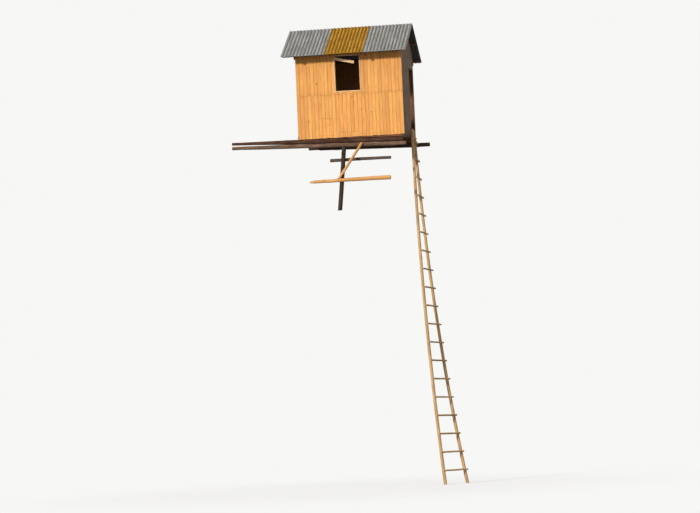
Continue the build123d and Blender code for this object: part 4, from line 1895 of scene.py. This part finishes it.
@dataclass
class Ladder(Assembly):
    """Two bowed poles and the rungs nailed across their outer side."""

    rail_radius: float = 0.033
    rung_radius: float = 0.019
    joist_radius: float = 0.035
    top_width: float = 0.340
    foot_width: float = 0.650
    foot_turn: float = math.radians(41)
    lean: float = 0.610
    top_reach: float = 0.130
    middle_y: float = 0.952
    first_rung: float = 0.366
    rung_pitch: float = 0.400
    rung_overhang: float = 0.045
    rung_slip: float = 0.012
    rung_spread: tuple[float, float] = (0.92, 1.04)
    rung_taper: tuple[float, float] = (0.9, 1.05)
    head_proud: float = 0.0012
    thick_foot: float = 1.10
    thin_top: float = 0.92

    def rail(self, side: int, lean: float) -> Rail:
        """Works out a rail's bow from its lean at the top.

        Args:
            side: Minus one for the near rail and one for the far rail.
            lean: Its lean at the top.

        Returns:
            The rail.
        """
        low, high = solid_boxes("joists")[-1]
        joist = (low + high) / 2
        down = Vector((math.sin(lean), 0, -math.cos(lean)))
        out = Vector((math.cos(lean), 0, math.sin(lean)))
        touch = self.joist_radius + self.rail_radius + SEAT_GAP
        contact = Vector((joist.x, self.middle_y + side * self.top_width / 2, joist.z))
        contact += out * touch
        spread = Vector((math.sin(self.foot_turn), math.cos(self.foot_turn), 0))
        foot = Vector((joist.x + touch + self.lean, self.middle_y, FOOT_Z - 2 * self.rail_radius))
        foot += spread * (side * self.foot_width / 2)
        chord = foot - contact
        half = down.angle(chord)
        sideways = (down - chord.normalized() * math.cos(half)).normalized()
        radius = chord.length / 2 / math.sin(half)
        centre = (contact + foot) / 2 - sideways * (radius * math.cos(half))
        # From the arc's centre to the touching point, square to the direction down
        ray = (contact - centre).normalized()

        def bow(share: float) -> Vector:
            """Point of the bow at a share of its length from the top."""
            angle = 2 * half * share
            return centre + (ray * math.cos(angle) + down * math.sin(angle)) * radius

        top = contact - down * self.top_reach
        return Rail(top, down, self.top_reach, bow, 2 * half * radius)

    def build(self) -> None:
        """Builds the rails, the rungs and their nails."""
        near, far = self.rail(-1, math.radians(0.5)), self.rail(1, math.radians(2.5))
        radius = taper(self.rail_radius * self.thin_top, self.rail_radius * self.thick_foot)
        for rail, side, seed, tone in ((near, "near", 131, 0.75), (far, "far", 133, 0.6)):
            piece = Piece(f"ladder_rail_{side}_pole", seed)
            piece.pole(
                rail.line, radius, rail.length, step=0.045, knots=22, clamp=above(FOOT_Z), tone=tone
            )
            piece.finish(self.finishes, Look.LADDER, f"ladder_rail_{side}", smooth=True)
        self.build_rungs(near, far)

    def build_rungs(self, near: Rail, far: Rail) -> None:
        """Builds the rungs across the outer side of the rails.

        Args:
            near: The near rail.
            far: The far rail.
        """
        piece = Piece("ladder_rung_sticks", 135)
        uniform = piece.draw.uniform
        nails = NailRow(head=0.006, height=0.003)
        reach = self.rail_radius + self.rung_radius + SEAT_GAP
        for i in range(math.floor((near.bow_length - self.first_rung) / self.rung_pitch) + 1):
            height = self.first_rung + i * self.rung_pitch
            shares = [(rail, 1 - height / rail.bow_length) for rail in (near, far)]
            points = [rail.bow(share) for rail, share in shares]
            across = (points[1] - points[0]).normalized()
            outs = []
            for rail, share in shares:
                ahead = (rail.bow(share + 0.002) - rail.bow(share - 0.002)).normalized()
                outs.append(across.cross(ahead).normalized() * -1)
            start = points[0] + outs[0] * reach - across * self.rung_overhang
            end = points[1] + outs[1] * reach + across * self.rung_overhang
            radius = self.rung_radius * uniform(*self.rung_spread)
            slip = across * uniform(-self.rung_slip, self.rung_slip)
            piece.pole(
                straight(start + slip, end + slip, wander=0.003, seed=i * 1.7),
                taper(radius, radius * uniform(*self.rung_taper)),
                step=0.025, sides=14, lumps=0.05, knots=3,
            )
            for point, out in zip(points, outs):
                head = self.rail_radius + 2 * self.rung_radius + self.head_proud
                nails.add(point + out * head, out)
        piece.finish(self.finishes, Look.LADDER, "ladder_rungs", smooth=True)
        nails.build("ladder_rung_nails", self.finishes.nail, 136)


def direction(azimuth: float, elevation: float) -> Vector:
    """Gives the way from the object to a lamp or camera.

    Args:
        azimuth: Degrees to the right of the front.
        elevation: Degrees up.

    Returns:
        The unit direction.
    """
    a, e = math.radians(azimuth), math.radians(elevation)
    return Vector((math.sin(a) * math.cos(e), -math.cos(a) * math.cos(e), math.sin(e)))


@dataclass(frozen=True)
class Lamp:
    """A far lamp, with its direction in degrees and its colour in linear light."""

    name: str
    strength: float
    spread: float
    azimuth: float
    elevation: float
    tint: tuple[float, float, float]


@dataclass
class Studio:
    """Pale floor and backdrop, soft light and the camera."""

    floor_radius: float = 60.0
    floor_sides: int = 96
    clear_radius: float = 9.0
    backdrop: str = "f7f7f5"
    floor: str = "f6f5f2"
    bounce: str = "8f8e8b"
    air: str = "f6f8ff"
    floor_lift: float = 0.26
    ambient: float = 0.50
    lamps: tuple[Lamp, ...] = (
        Lamp("key_lamp", 2.60, 5.0, -32.0, 16.0, (1.0, 0.97, 0.92)),
        Lamp("fill_lamp", 0.15, 40.0, 70.0, 20.0, (0.94, 0.97, 1.0)),
    )
    lamp_distance: float = 20.0
    distance: float = 58.0
    azimuth: float = 9.0
    elevation: float = -6.5
    roll: float = -2.5
    lens: float = 138.0
    hut_centre: Vector = field(default_factory=lambda: Vector((0.325, -0.048, 2.6)))

    def build(self) -> None:
        """Builds the floor, world, lamps and camera."""
        self.build_floor()
        self.build_world()
        self.build_lamps()
        self.build_camera()

    def build_floor(self) -> None:
        """Lays a round floor that fades into the backdrop."""
        mesh = bpy.data.meshes.new("studio_floor")
        turns = [math.tau * i / self.floor_sides for i in range(self.floor_sides)]
        r = self.floor_radius
        points = [(r * math.cos(turn), r * math.sin(turn), FOOT_Z) for turn in turns]
        mesh.from_pydata(points, [], [tuple(range(self.floor_sides))])
        material, add = blank_material("studio_floor_paint")
        flat = add(Node.STRETCH, add("ShaderNodeTexCoord", out="Object"), (1.0, 1.0, 0.0))
        clear = add(
            Node.SMOOTH, add(Node.LENGTH, flat), self.clear_radius * 0.3, self.clear_radius
        )
        # Only the camera and gloss see the floor's white: the object gets a plain grey bounce
        seen = self.seen_share(add)
        tint = add(Node.MIX, seen, colour(self.bounce), colour(self.floor))
        white = colour(self.backdrop)
        lift = add("ShaderNodeEmission", white, add(Node.MULTIPLY, seen, self.floor_lift))
        lit = add("ShaderNodeAddShader", add("ShaderNodeBsdfDiffuse", tint), lift)
        glow = add("ShaderNodeEmission", white, 1.0)
        mixed = add("ShaderNodeMixShader", add(Node.MULTIPLY, seen, clear), lit, glow)
        add("ShaderNodeOutputMaterial", mixed)
        mesh.materials.append(material)
        floor = bpy.data.objects.new("studio_floor", mesh)
        bpy.context.scene.collection.objects.link(floor)

    def seen_share(self, add: Callable[..., Socket]) -> Socket:
        """Tells rays that show the background from those that light the object.

        Args:
            add: Adds a node to the floor's or the world's tree.

        Returns:
            One for camera, glossy and transmission rays, and zero for others.
        """
        rays = add("ShaderNodeLightPath").node.outputs
        gloss = add(Node.MAXIMUM, rays["Is Glossy Ray"], rays["Is Transmission Ray"])
        return add(Node.MAXIMUM, rays["Is Camera Ray"], gloss)

    def build_world(self) -> None:
        """Sets an even light all round, and a pale backdrop to the camera and in gloss."""
        world = bpy.data.worlds.new("studio_air")
        bpy.context.scene.world = world
        world.use_nodes = True
        world.node_tree.nodes.clear()
        add = partial(add_node, world.node_tree)
        light = add("ShaderNodeBackground", colour(self.air), self.ambient)
        shown = add("ShaderNodeBackground", colour(self.backdrop), 1.0)
        add("ShaderNodeOutputWorld", add("ShaderNodeMixShader", self.seen_share(add), light, shown))

    def build_lamps(self) -> None:
        """Hangs a soft key from the front left and a weak fill from the right."""
        for lamp in self.lamps:
            light = bpy.data.lights.new(lamp.name, "SUN")
            light.energy, light.angle = lamp.strength, math.radians(lamp.spread)
            light.color = lamp.tint
            holder = bpy.data.objects.new(lamp.name, light)
            back = direction(lamp.azimuth, lamp.elevation)
            holder.rotation_euler = back.to_track_quat("Z", "Y").to_euler()
            holder.location = back * self.lamp_distance
            bpy.context.scene.collection.objects.link(holder)

    def build_camera(self) -> None:
        """Sets the camera at the photograph's viewing angle, far off and low down."""
        camera = bpy.data.objects.new("camera", bpy.data.cameras.new("camera"))
        bpy.context.scene.collection.objects.link(camera)
        bpy.context.scene.camera = camera
        camera.location = self.hut_centre + direction(self.azimuth, self.elevation) * self.distance
        aim = (cad_low + cad_high) / 2 - camera.location
        facing = aim.to_track_quat("-Z", "Y").to_matrix().to_4x4()
        turn = Matrix.Rotation(math.radians(self.roll), 4, "Z")
        camera.rotation_euler = (facing @ turn).to_euler()
        camera.data.lens = self.lens
        camera.data.clip_start, camera.data.clip_end = 1.0, 400.0


def main() -> None:
    logging.basicConfig(level=logging.INFO, format="%(name)s %(message)s")
    bpy.context.scene.view_settings.view_transform = "Standard"
    Studio().build()
    finishes = Finishes()
    for assembly in (Hut, Window, Roof, Platform, Ladder):
        assembly(finishes).build()


if __name__ == "__main__":
    main()
